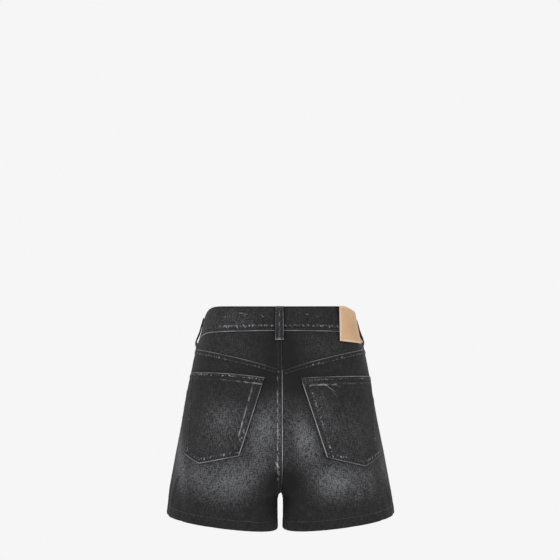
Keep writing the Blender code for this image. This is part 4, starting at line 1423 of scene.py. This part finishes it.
BUTTON_TURN = np.pi - np.radians(6.6)
BUTTON_SIDES = 64
BUTTON_STEPS = [  # radius and height over the cloth, in mm, up and over the cap
    (3.5, 0), (3.5, 1.2), (7.7, 1.25), (8.2, 1.45), (8.5, 1.9), (8.4, 2.4), (8.05, 2.8), (7.5, 3.05),
    (7.0, 3.1), (6.6, 2.95), (6.35, 2.65), (6.1, 2.55), (5.6, 2.55), (5.3, 2.7), (4.6, 2.95), (3.4, 3.1),
    (2.0, 3.18), (0.7, 3.2),
]


def turned_piece(name, steps, sides):
    """A turned shape: a disc pushed up in steps, each of its own radius and height in mm."""
    bpy.ops.object.select_all(action="DESELECT")
    first_radius, first_height = steps[0]
    bpy.ops.mesh.primitive_circle_add(
        vertices=sides, radius=first_radius * MM, fill_type="NGON", location=(0, 0, first_height * MM)
    )
    piece = bpy.context.object
    piece.name = piece.data.name = name
    bpy.ops.object.mode_set(mode="EDIT")
    bpy.ops.mesh.select_mode(type="FACE")
    bpy.ops.mesh.select_all(action="SELECT")
    for (before, low), (after, high) in zip(steps[:-1], steps[1:]):
        bpy.ops.mesh.extrude_region_move(TRANSFORM_OT_translate={"value": (0, 0, (high - low) * MM)})
        bpy.ops.transform.resize(value=(after / before, after / before, 1))
    bpy.ops.mesh.select_all(action="SELECT")
    bpy.ops.mesh.normals_make_consistent(inside=False)
    bpy.ops.object.mode_set(mode="OBJECT")
    return piece


def button(material):
    """A shank button through the band's lapped ends."""
    level = (band_top(BUTTON_TURN) + band_foot(BUTTON_TURN)) / 2
    over = BAND_OUT + BAND_IN + SEAM_GAP + BAND_OUT
    normal = form_normal(BUTTON_TURN, level)
    place = form(BUTTON_TURN, level) + normal * (over + SEAM_GAP)
    piece = turned_piece("button_cap", BUTTON_STEPS, BUTTON_SIDES)
    facing = Vector(normal).to_track_quat("Z", "Y").to_matrix().to_4x4()
    piece.data.transform(Matrix.Translation(Vector(place)) @ facing @ piece.matrix_world)
    piece.matrix_world = Matrix()
    piece.data.materials.append(material)
    piece.data.shade_smooth()
    piece.data.set_sharp_from_angle(angle=BUTTON_SHARP_FROM)
    return dress(piece, "button", slot="metal")


# ---------------------------------------------------------------- stitches

STITCH_PITCH, STITCH_LENGTH = 3.2 * MM, 2.7 * MM
THREAD = 0.29 * MM  # its radius
STITCH_SIDES = 5
STITCH_RINGS = [  # place along the stitch from -1 to 1, thickness share and height in mm over the cloth
    (-0.92, 0.75, -0.22), (-0.55, 1.0, 0.10), (0.0, 1.0, 0.17), (0.55, 1.0, 0.10), (0.92, 0.75, -0.22),
]
STITCH_ENDS = 0.3 * MM  # how deep its ends lie
SHORTEST, LONGEST = 0.2 * MM, 3.5 * MM  # half lengths between which a stitch is made
NEEDLE_REACH = 9 * MM
DOWNWARDS, ACROSS = np.array([0.0, 0.0, -1.0]), np.array([1.0, 0.0, 0.0])


def stitch_shape():
    """One stitch along X, a bowed thread whose ends dive into the cloth: its points and faces."""
    points = [(-1.0, 0.0, -STITCH_ENDS)]
    for place, thick, height in STITCH_RINGS:
        for k in range(STITCH_SIDES):
            a = 2 * np.pi * k / STITCH_SIDES
            points.append((place, THREAD * thick * np.cos(a), height * MM + THREAD * thick * np.sin(a)))
    points.append((1.0, 0.0, -STITCH_ENDS))
    last, rings = len(points) - 1, len(STITCH_RINGS)
    faces = []
    for k in range(STITCH_SIDES):
        after = (k + 1) % STITCH_SIDES
        faces.append((0, 1 + after, 1 + k))
        for ring in range(rings - 1):
            a, b = 1 + ring * STITCH_SIDES, 1 + (ring + 1) * STITCH_SIDES
            faces.append((a + k, a + after, b + after, b + k))
        end = 1 + (rings - 1) * STITCH_SIDES
        faces.append((last, end + k, end + after))
    return np.array(points), faces


class Sewing:
    """Stitches of one part of the garment, gathered into one mesh."""

    def __init__(self, name, *cloth):
        self.name = name
        self.middles, self.alongs, self.ups, self.halves = [], [], [], []
        verts, faces = [], []
        for piece in cloth:
            offset = len(verts)
            verts.extend(v.co.copy() for v in piece.data.vertices)
            faces.extend([i + offset for i in p.vertices] for p in piece.data.polygons)
        self.cloth = BVHTree.FromPolygons(verts, faces)

    def touch(self, point, outward):
        """Where a needle meets the cloth, coming in from outside."""
        start = Vector(point + outward * NEEDLE_REACH)
        place, normal, _, _ = self.cloth.ray_cast(start, Vector(-outward), 2 * NEEDLE_REACH)
        return (None, None) if place is None else (np.array(place), np.array(normal))

    def stitch(self, start, stop, outward):
        (a, up_a), (b, up_b) = self.touch(start, outward), self.touch(stop, outward)
        if a is None or b is None:
            return
        half = np.linalg.norm(b - a) / 2
        if not SHORTEST < half < LONGEST:
            return
        self.middles.append((a + b) / 2)
        self.alongs.append((b - a) / (2 * half))
        self.ups.append(up_a + up_b + outward)
        self.halves.append(half)

    def row(self, line, inset=0.0, mirror=False, start=0.0, stop=0.0):
        """A row of stitches along a line, set to its left by inset, as seen from outside along the line."""
        tangent = np.gradient(line.points, axis=0)
        tangent /= np.linalg.norm(tangent, axis=1, keepdims=True)
        aside = np.cross(line.outward, tangent)
        aside /= np.linalg.norm(aside, axis=1, keepdims=True)
        points, outward = line.points + aside * inset, line.outward
        if mirror:
            points, outward = points * (-1, 1, 1), outward * (-1, 1, 1)
        along = run_of(points)
        gap = (STITCH_PITCH - STITCH_LENGTH) / 2
        for k in range(int((along[-1] - start - stop) / STITCH_PITCH)):
            begin = start + k * STITCH_PITCH
            a, b = (
                np.array([np.interp(at, along, points[:, axis]) for axis in range(3)])
                for at in (begin + gap, begin + STITCH_PITCH - gap)
            )
            halfway = begin + STITCH_PITCH / 2
            up = np.array([np.interp(halfway, along, outward[:, axis]) for axis in range(3)])
            self.stitch(a, b, up / np.linalg.norm(up))

    def bar(self, middle, outward, along, length=9 * MM, width=1.7 * MM, mirror=False):
        """A bar tack: close short stitches across a line."""
        if mirror:
            middle, outward, along = (v * (-1, 1, 1) for v in (middle, outward, along))
        outward = outward / np.linalg.norm(outward)
        along = along - outward * np.dot(along, outward)
        along = along / np.linalg.norm(along)
        aside = np.cross(outward, along)
        count = round(length / (2 * THREAD))
        for k in range(count):
            at = middle + along * length * ((k + 0.5) / count - 0.5)
            slant = along * THREAD * (1 if k % 2 else -1)
            self.stitch(at - aside * width / 2 - slant, at + aside * width / 2 + slant, outward)

    def make(self, material):
        shape, faces = stitch_shape()
        middles, alongs, halves = (np.array(v) for v in (self.middles, self.alongs, self.halves))
        ups = np.array(self.ups)
        ups -= alongs * np.sum(ups * alongs, axis=1, keepdims=True)
        ups /= np.linalg.norm(ups, axis=1, keepdims=True)
        asides = np.cross(ups, alongs)
        points = (
            middles[:, None]
            + shape[None, :, :1] * halves[:, None, None] * alongs[:, None]
            + shape[None, :, 1:2] * asides[:, None]
            + shape[None, :, 2:] * ups[:, None]
        )
        count = len(shape)
        all_faces = [tuple(i + k * count for i in face) for k in range(len(middles)) for face in faces]
        mesh = bpy.data.meshes.new(self.name)
        mesh.from_pydata(points.reshape(-1, 3).tolist(), [], all_faces)
        mesh.shade_smooth()
        mesh.materials.append(material)
        piece = bpy.data.objects.new(self.name, mesh)
        bpy.context.scene.collection.objects.link(piece)
        return dress(piece)


def sew_back(cloth, thread):
    """The yoke seam, the seam at the middle of the back, and the back pockets."""
    sewn = [piece for name, piece in cloth.items() if name.startswith(("yoke", "back", "pocket_back"))]
    sewing = Sewing("stitches_back", *sewn)
    for mirror in (False, True):
        for inset in TWO_ROWS:
            sewing.row(YOKE_LINE, inset, mirror, start=1 * MM if mirror else 9 * MM)
        lines = POCKET_LINES[-1 if mirror else 1]
        for name, line in lines.items():
            second = POCKET_HEM_ROW if name == "top" else POCKET_ROW_INNER
            sense = 1 if name in ("top", "outer") else -1
            for inset in (ROW_EDGE, second):
                ends = ROW_EDGE if name == "top" else inset
                sewing.row(line, sense * inset, mirror, start=ends, stop=ends)
        for end in (3, -4):  # bar tacks at the pocket's upper corners
            middle = lines["top"].points[end] - (0, 0, 4.5 * MM)
            sewing.bar(middle, lines["top"].outward[end], DOWNWARDS, 8 * MM, mirror=mirror)
    rise = BACK_RISE.up_to(share_at(BACK_RISE, CROTCH - 6 * MM))
    for inset in TWO_ROWS:
        sewing.row(rise, -inset)
    return sewing.make(thread)


def sew_front(cloth, thread):
    """The pocket mouths, the fly and the seam below it."""
    sewing = Sewing("stitches_front", cloth["front_left"], cloth["front_right"])
    for mirror in (False, True):
        for inset in TWO_ROWS:
            sewing.row(MOUTH_LINE, inset, mirror, start=3 * MM, stop=5 * MM)
        for end, drop in ((6, 5 * MM), (-5, 6 * MM)):  # bar tacks at the mouth's side and front ends
            middle = MOUTH_LINE.points[end] - (0, 0, drop)
            sewing.bar(middle, MOUTH_LINE.outward[end], DOWNWARDS, mirror=mirror)
    for inset in (0, 4.6 * MM):
        sewing.row(line_on_form(*fly_path(inset)), 0)
    rise = FRONT_RISE.up_to(share_at(FRONT_RISE, CROTCH - 6 * MM))
    sewing.row(rise, ROW_EDGE)
    low = share_at(FRONT_RISE, FRONT_DROP + BAND_HEIGHT + FLY_LENGTH)
    sewing.row(rise, ROW_INNER, start=low * FRONT_RISE.length)
    foot = FLY_LINE.points[-12]
    sewing.bar(foot, FLY_LINE.outward[-12], FLY_LINE.points[-8] - foot)
    middle = FRONT_RISE.points[int(low * len(LINE_STEPS))] + (4 * MM, 0, 0)
    sewing.bar(middle, np.array([0.0, -1.0, 0.0]), np.array([1.0, 0.0, -0.25]), 8 * MM)
    return sewing.make(thread)


def sew_hems(cloth, thread):
    panels = [piece for name, piece in cloth.items() if name.startswith(("back", "front"))]
    sewing = Sewing("stitches_hems", *panels)
    for mirror in (False, True):
        sewing.row(HEM_LINE, -HEM_DEPTH, mirror)
        for inset in TWO_ROWS:
            sewing.row(INSEAM, -inset, mirror, start=4 * MM, stop=2 * MM)
    return sewing.make(thread)


def band_line(down, from_turn=-np.pi, to_turn=np.pi):
    """A line round the waistband, down from its top edge, or up from its foot where down is below 0."""
    turn = between(from_turn, to_turn, FULL)
    level = band_level(turn, down) if down > 0 else band_foot(turn) + down
    return Line(*all_round(turn, level))


BUTTONHOLE = 23 * MM  # its length


def sew_band(cloth, thread):
    """The waistband's two rows, its closed end and the buttonhole."""
    sewing = Sewing("stitches_waistband", cloth["waistband"])
    end = np.pi + BAND_OVERLAP - 2.2 * MM / FRONT_REACH
    for down in (BAND_ROW_TOP, -BAND_ROW_FOOT):
        sewing.row(band_line(down, -np.pi + 0.05, end))
    top, foot = band_top(np.pi) + BAND_ROW_TOP, band_foot(np.pi) - BAND_ROW_FOOT
    level = between(top, foot, np.linspace(0, 1, 30))
    sewing.row(Line(*all_round(np.full_like(level, end), level)))
    level = (band_top(BUTTON_TURN) + band_foot(BUTTON_TURN)) / 2
    middle, outward = form(BUTTON_TURN, level), form_normal(BUTTON_TURN, level)
    hole = middle - (4 * MM, 0, 0)
    for lip in (1.1 * MM, -1.1 * MM):
        sewing.bar(hole + (0, 0, lip), outward, ACROSS, BUTTONHOLE, 1.9 * MM)
    return sewing.make(thread)


def sew_loops(cloth, thread):
    sewing = Sewing("stitches_loops", *(cloth[name] for name in LOOPS))
    for middle_deg, length_mm in LOOPS.values():
        middle, length = np.radians(middle_deg), length_mm * MM
        speed = round_speed(middle)
        for aside in (-LOOP_ROWS, LOOP_ROWS):
            turn = np.full(60, middle + aside / speed)
            level = band_level(turn, between(1.5 * MM, length - 1.5 * MM, np.linspace(0, 1, 60)))
            sewing.row(Line(*all_round(turn, level)))
        for down in (3 * MM, length - 3.2 * MM):
            turn = np.array([middle - LOOP_TURN, middle, middle + LOOP_TURN])
            points, outward = all_round(turn, band_level(turn, down))
            sewing.bar(points[1], outward[1], points[2] - points[0], 10.5 * MM, 2.0 * MM)
    return sewing.make(thread)


def sew_patch(cloth, thread):
    sewing = Sewing("stitches_patch", cloth["patch"])
    low, wide, tall = PATCH_ROW, PATCH_WIDTH - PATCH_ROW, PATCH_HEIGHT - PATCH_ROW
    corners = [(low, low), (wide, low), (wide, tall), (low, tall), (low, low)]
    for (x0, y0), (x1, y1) in zip(corners[:-1], corners[1:]):
        x, y = between(x0, x1, SHORT_STEPS), between(y0, y1, SHORT_STEPS)
        level = patch_level(band_level(-turn_at(PATCH_FROM + x, PATCH_TURN_LEVEL), 0), x, y)
        sewing.row(line_on_form(turn_at(PATCH_FROM + x, level), level), mirror=True)
    piece = sewing.make(thread)
    return piece


# ---------------------------------------------------------------- finishes


class Shader:
    """Builds one finish, a node at a time."""

    def __init__(self, name):
        self.material = bpy.data.materials.new(name)
        self.material.use_nodes = True
        self.tree = self.material.node_tree
        self.surface = self.tree.nodes["Principled BSDF"]

    def put(self, socket, value):
        if isinstance(value, bpy.types.NodeSocket):
            self.tree.links.new(value, socket)
        else:
            socket.default_value = value

    def node(self, kind, inputs=(), **settings):
        made = self.tree.nodes.new(kind)
        for key, value in settings.items():
            setattr(made, key, value)
        for key, value in dict(inputs).items():
            self.put(made.inputs[key], value)
        return made.outputs[0]

    def math(self, operation, a, b=0.0, c=0.0, clamp=False):
        return self.node("ShaderNodeMath", {0: a, 1: b, 2: c}, operation=operation, use_clamp=clamp)

    def scaled(self, vector, x, y, z=1.0):
        return self.node("ShaderNodeVectorMath", {0: vector, 1: (x, y, z)}, operation="MULTIPLY")

    def read(self, name):
        """A value that the cloth has at each of its points."""
        made = self.tree.nodes.new("ShaderNodeAttribute")
        made.attribute_name = name
        return made.outputs["Fac"]

    def noise(self, vector, scale, detail=2.0, roughness=0.5, distortion=0.0, dimensions="2D"):
        """Noise spread to about 0 to 1."""
        inputs = {"Vector": vector, "Scale": scale, "Detail": detail}
        inputs |= {"Roughness": roughness, "Distortion": distortion}
        raw = self.node("ShaderNodeTexNoise", inputs, noise_dimensions=dimensions)
        return self.spread(raw, 0.28, 0.72)

    def spread(self, value, low, high, to_low=0.0, to_high=1.0, soft=False):
        inputs = {"Value": value, "From Min": low, "From Max": high, "To Min": to_low, "To Max": to_high}
        kind = "SMOOTHSTEP" if soft else "LINEAR"
        return self.node("ShaderNodeMapRange", inputs, interpolation_type=kind)

    def mix(self, share, a, b):
        made = self.tree.nodes.new("ShaderNodeMix")
        made.data_type = "RGBA"
        self.put(made.inputs[0], share)
        self.put(made.inputs[6], a)
        self.put(made.inputs[7], b)
        return made.outputs[2]

    def tint(self, colour, amount):
        """A colour made lighter or darker by a number round 1."""
        return self.node("ShaderNodeVectorMath", {0: colour, 1: amount}, operation="MULTIPLY")

    def bump(self, height, distance, strength=1.0, under=None):
        inputs = {"Height": height, "Distance": distance, "Strength": strength}
        if under is not None:
            inputs["Normal"] = under
        return self.node("ShaderNodeBump", inputs)

    def place(self):
        """Object coordinates."""
        return self.tree.nodes.new("ShaderNodeTexCoord").outputs["Object"]

    def finish(self, colour, roughness, normal=None, **more):
        """Sets the surface, and gives its material. more names other inputs, with _ for spaces."""
        inputs = {"Base_Color": colour, "Roughness": roughness, **more}
        if normal is not None:
            inputs["Normal"] = normal
        for key, value in inputs.items():
            self.put(self.surface.inputs[key.replace("_", " ")], value)
        return self.material


def cut_mm(s):
    """The cut's own coordinates, in mm: across the grain and up along it."""
    made = s.tree.nodes.new("ShaderNodeUVMap")
    made.uv_map = "cut"
    return s.scaled(made.outputs[0], 1000, 1000, 1000)


TWILL_MM, WEFT_MM = 0.95, 0.55  # from line to line of the twill, and from weft to weft


def twill(s, mm):
    """Slanting twill lines with the threads' own unevenness, from 0 to 1."""
    wobble = s.noise(s.scaled(mm, 0.5, 0.5), 1.0, 2.0)
    parts = s.node("ShaderNodeSeparateXYZ", {0: mm})
    separate = parts.node
    across, up = separate.outputs[0], separate.outputs[1]
    slant = s.math("MULTIPLY_ADD", up, 0.62, across)
    phase = s.math("MULTIPLY_ADD", slant, 2 * np.pi / TWILL_MM, s.math("MULTIPLY", wobble, 1.6))
    wave = s.math("MULTIPLY_ADD", s.math("SINE", phase), 0.5, 0.5)
    weft = s.math("MULTIPLY_ADD", s.math("SINE", s.math("MULTIPLY", up, 2 * np.pi / WEFT_MM)), 0.5, 0.5)
    return s.math("MULTIPLY_ADD", weft, 0.25, s.math("MULTIPLY", wave, 0.75))


INK, INK_WORN = (0.0086, 0.0080, 0.0082, 1), (0.0150, 0.0143, 0.0149, 1)
RUBBED = (0.142, 0.144, 0.151, 1)
BARE = (0.44, 0.44, 0.46, 1)
PLAIN_WASH = 0.08  # how washed out the cloth is away from its fades


def black_denim(name):
    """Black denim, stone-washed: black warp over a pale weft that shows where the dye is rubbed off."""
    s = Shader(name)
    mm = cut_mm(s)
    wash_and_shade, wear_and_shade = s.math("ADD", s.read("wash_and_shade"), PLAIN_WASH), s.read("wear_and_shade")
    speck = s.noise(mm, 0.58, 3.0, 0.66, 0.5)
    warp = s.noise(s.scaled(mm, 0.66, 0.11), 1.0, 2.5, 0.6)
    weft = s.noise(s.scaled(mm, 0.13, 0.66), 1.0, 2.0, 0.6)
    fine = s.noise(mm, 1.5, 2.0, 0.6)
    cloud = s.noise(mm, 0.045, 3.0, 0.6)
    lines = twill(s, mm)

    grain = s.math("MULTIPLY", speck, 0.38)
    for part, share in ((warp, 0.28), (weft, 0.20), (fine, 0.14)):
        grain = s.math("MULTIPLY_ADD", part, share, grain)
    depth = s.math("MULTIPLY", wash_and_shade, s.spread(cloud, 0, 1, 0.82, 1.18), clamp=True)
    shown = s.spread(s.math("MULTIPLY_ADD", depth, 0.12, grain), 0.455, 0.655)
    strength = s.math("MULTIPLY", depth, s.math("MULTIPLY_ADD", depth, -0.30, 1.22))
    rubbed = s.math("MULTIPLY", shown, strength, clamp=True)
    # a wash below 0 gives the plain ink: unrubbed dye, and painted shade at the crotch and between the legs
    colour = s.mix(s.spread(wash_and_shade, 0.0, 0.5), INK, INK_WORN)
    colour = s.tint(colour, s.spread(cloud, 0, 1, 0.88, 1.12))
    colour = s.mix(rubbed, colour, RUBBED)

    fleck = s.math("MULTIPLY_ADD", speck, 0.6, s.math("MULTIPLY", fine, 0.4))
    crest = s.math("MULTIPLY_ADD", s.math("SUBTRACT", fleck, 1.0), 0.5, s.math("MULTIPLY", wear_and_shade, 1.25))
    colour = s.mix(s.math("MULTIPLY", crest, 0.56, clamp=True), colour, BARE)
    # wear below 0 darkens the colour down to 0.14 of itself: dye that stays dark in crevices, and painted
    # shade beside folds, rows, pockets, belt loops, the patch and in the gaps between pieces
    colour = s.tint(colour, s.spread(wear_and_shade, -1.0, 0.0, 0.14, 1.0))
    colour = s.tint(colour, s.spread(lines, 0, 1, 0.74, 1.24))
    roughness = s.spread(rubbed, 0, 1, 0.8, 0.92)
    slub = s.bump(s.math("MULTIPLY_ADD", warp, 0.6, s.math("MULTIPLY", speck, 0.5)), 0.16 * MM, 0.8)
    normal = s.bump(lines, 0.09 * MM, 0.9, slub)
    sheen = {"Sheen_Weight": 0.03, "Sheen_Roughness": 0.5}
    return s.finish(colour, roughness, normal, Specular_IOR_Level=0.12, **sheen)


def denim_reverse(name):
    """The wrong side of the denim: grey weft with specks of black warp."""
    s = Shader(name)
    mm = cut_mm(s)
    lines = twill(s, s.scaled(mm, -1, 1))
    speck, cloud = s.noise(mm, 1.1, 3.0, 0.7), s.noise(mm, 0.06, 3.0, 0.6)
    warp = s.noise(s.scaled(mm, 0.8, 0.08), 1.0, 2.0, 0.6)
    pale = s.mix(cloud, (0.092, 0.092, 0.096, 1), (0.135, 0.134, 0.138, 1))
    dark = s.math("ADD", s.math("MULTIPLY", lines, 0.5), s.math("MULTIPLY", speck, 0.5))
    colour = s.mix(s.math("MULTIPLY", dark, 0.62), pale, (0.034, 0.033, 0.035, 1))
    colour = s.tint(colour, s.spread(warp, 0, 1, 0.86, 1.12))
    normal = s.bump(lines, 0.1 * MM, 0.9, s.bump(warp, 0.12 * MM, 0.7))
    return s.finish(colour, 0.92, normal, Specular_IOR_Level=0.2)


def twisted_thread(name, colour, shine):
    """Twisted thread of any colour."""
    s = Shader(name)
    place = s.place()
    fuzz = s.noise(place, 2600, 2.0, 0.6, dimensions="3D")
    tone = s.noise(place, 90, 2.0, 0.5, dimensions="3D")
    pale = tuple(min(1.0, c * 1.9) for c in colour[:3]) + (1,)
    colour = s.tint(s.mix(tone, colour, pale), s.spread(fuzz, 0, 1, 0.8, 1.15))
    return s.finish(colour, 0.6, s.bump(fuzz, 0.05 * MM, 0.8), Sheen_Weight=shine)


def natural_leather(name):
    """Undyed vegetable-tanned leather: fine grain, faint stains and a paler cut edge."""
    s = Shader(name)
    mm = cut_mm(s)
    wear_and_shade = s.read("wear_and_shade")
    cells = {"Vector": mm, "Scale": 1.1, "Randomness": 1.0}
    pores = s.node("ShaderNodeTexVoronoi", cells, voronoi_dimensions="2D")
    grain, cloud = s.noise(mm, 0.9, 3.0, 0.65, 0.6), s.noise(mm, 0.045, 3.0, 0.55)
    blush = s.noise(s.scaled(mm, 0.03, 0.05), 1.0, 2.0)
    colour = s.mix(cloud, (0.405, 0.256, 0.138, 1), (0.455, 0.302, 0.174, 1))
    colour = s.mix(s.math("MULTIPLY", s.spread(blush, 0.55, 1.0), 0.35), colour, (0.475, 0.268, 0.160, 1))
    colour = s.mix(s.math("MULTIPLY", wear_and_shade, 0.7), colour, (0.56, 0.43, 0.29, 1))
    colour = s.tint(colour, s.spread(grain, 0, 1, 0.95, 1.05))
    pitted = s.bump(s.spread(pores, 0.0, 0.5), 0.07 * MM, 0.5)
    normal = s.bump(grain, 0.09 * MM, 0.6, pitted)
    return s.finish(colour, s.spread(grain, 0, 1, 0.5, 0.66), normal, Specular_IOR_Level=0.35)


def edge_in_painted_shadow(name):
    """Leather's cut edge and flesh side, near black: a burnished edge, and painted shadow between the patch
    and the band.
    """
    s = Shader(name)
    grain = s.noise(cut_mm(s), 0.9, 3.0, 0.65)
    colour = s.mix(grain, (0.020, 0.014, 0.010, 1), (0.040, 0.028, 0.019, 1))
    return s.finish(colour, 0.7, Specular_IOR_Level=0.2)


def aged_metal(name):
    """Blackened brass, unevenly tarnished and scuffed."""
    s = Shader(name)
    place = s.place()
    tarnish = s.noise(place, 420, 4.0, 0.7, dimensions="3D")
    scuffs = s.noise(s.scaled(place, 1, 0.15, 4), 1500, 2.0, 0.6, dimensions="3D")
    colour = s.mix(tarnish, (0.075, 0.072, 0.07, 1), (0.21, 0.20, 0.185, 1))
    colour = s.tint(colour, s.spread(scuffs, 0, 1, 0.85, 1.15))
    roughness = s.spread(tarnish, 0, 1, 0.42, 0.26)
    return s.finish(colour, roughness, s.bump(scuffs, 0.02 * MM, 0.4), Metallic=1.0)


def plain_studio(name):
    """Even pale paper."""
    material = bpy.data.materials.new(name)
    material.use_nodes = True
    nodes = material.node_tree.nodes
    nodes.clear()
    light, out = nodes.new("ShaderNodeEmission"), nodes.new("ShaderNodeOutputMaterial")
    light.inputs["Color"].default_value = (*STUDIO_PALE, 1)
    material.node_tree.links.new(light.outputs[0], out.inputs[0])
    return material


# ---------------------------------------------------------------- studio and camera

STUDIO_PALE = (0.9216, 0.9216, 0.9216)
FLOOR_DROP, FLOOR_SIZE = 0.62, 60.0
CAMERA_AWAY, CAMERA_TURN = 3.3, np.radians(2.1)
EYE_UP = 84.2 * MM  # over the origin
FOCAL_PX, FRAME_PX, SENSOR_MM = 1929.8, 560, 36.0
LIGHTS = (  # name, place in metres, size and power
    ("key_light", (1.5, 2.7, 1.7), 1.6, 62),
    ("fill_light", (-2.1, 2.3, 0.5), 1.8, 24),
    ("front_light", (-0.8, -2.9, 1.6), 2.0, 40),
)
LIT_POINT = Vector((0, 0, -0.15))


def studio():
    world = bpy.data.worlds.new("studio")
    world.use_nodes = True
    world.node_tree.nodes["Background"].inputs["Color"].default_value = (*STUDIO_PALE, 1)
    bpy.context.scene.world = world
    bpy.context.scene.view_settings.view_transform = "Standard"
    bpy.ops.mesh.primitive_plane_add(size=FLOOR_SIZE, location=(0, 0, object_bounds()[0].z - FLOOR_DROP))
    floor = bpy.context.object
    floor.name = "studio_floor"
    floor.data.materials.append(plain_studio("pale_paper"))
    floor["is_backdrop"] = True
    for name, place, size, power in LIGHTS:
        light = bpy.data.lights.new(name, "AREA")
        light.size, light.energy = size, power
        lamp = bpy.data.objects.new(name, light)
        bpy.context.scene.collection.objects.link(lamp)
        lamp.location = place
        lamp.rotation_mode = "QUATERNION"
        lamp.rotation_quaternion = (LIT_POINT - Vector(place)).to_track_quat("-Z", "Y")


def camera():
    lens = bpy.data.cameras.new("camera")
    lens.sensor_width, lens.lens = SENSOR_MM, SENSOR_MM * FOCAL_PX / FRAME_PX
    eye = bpy.data.objects.new("camera", lens)
    bpy.context.scene.collection.objects.link(eye)
    towards = Vector((np.sin(CAMERA_TURN), np.cos(CAMERA_TURN), 0))
    eye.location = towards * CAMERA_AWAY + Vector((0, 0, EYE_UP))
    eye.rotation_mode = "QUATERNION"
    eye.rotation_quaternion = (-towards).to_track_quat("-Z", "Y")
    bpy.context.scene.camera = eye


# ---------------------------------------------------------------- the shorts


def shorts():
    denim, reverse = black_denim("black_denim"), denim_reverse("denim_reverse")
    faces = [denim, reverse]
    cloth = {}
    for word, side in (("left", 1), ("right", -1)):
        cloth[f"yoke_{word}"] = yoke(side, faces)
        cloth[f"back_{word}"] = back_panel(side, faces)
        cloth[f"front_{word}"] = front_panel(side, faces)
        cloth[f"pocket_back_{word}"] = back_pocket(side, faces)
        cloth[f"pocket_facing_{word}"] = pocket_facing(side, faces)
    cloth["fly"] = fly(faces)
    cloth["waistband"] = waistband(faces)
    for number, (name, (middle_deg, length_mm)) in enumerate(LOOPS.items()):
        cloth[name] = belt_loop(number, name, middle_deg, length_mm, faces)
    cloth["patch"] = patch([natural_leather("natural_leather"), edge_in_painted_shadow("burnished_edge_and_shadow")])
    button(aged_metal("aged_metal"))
    thread = twisted_thread("black_thread", (0.020, 0.020, 0.021, 1), 0.2)
    sew_back(cloth, thread)
    sew_front(cloth, thread)
    sew_hems(cloth, thread)
    sew_band(cloth, thread)
    sew_loops(cloth, thread)
    sew_patch(cloth, twisted_thread("tan_thread", (0.50, 0.36, 0.23, 1), 0.1))


bpy.ops.object.select_all(action="DESELECT")
shorts()
studio()
camera()
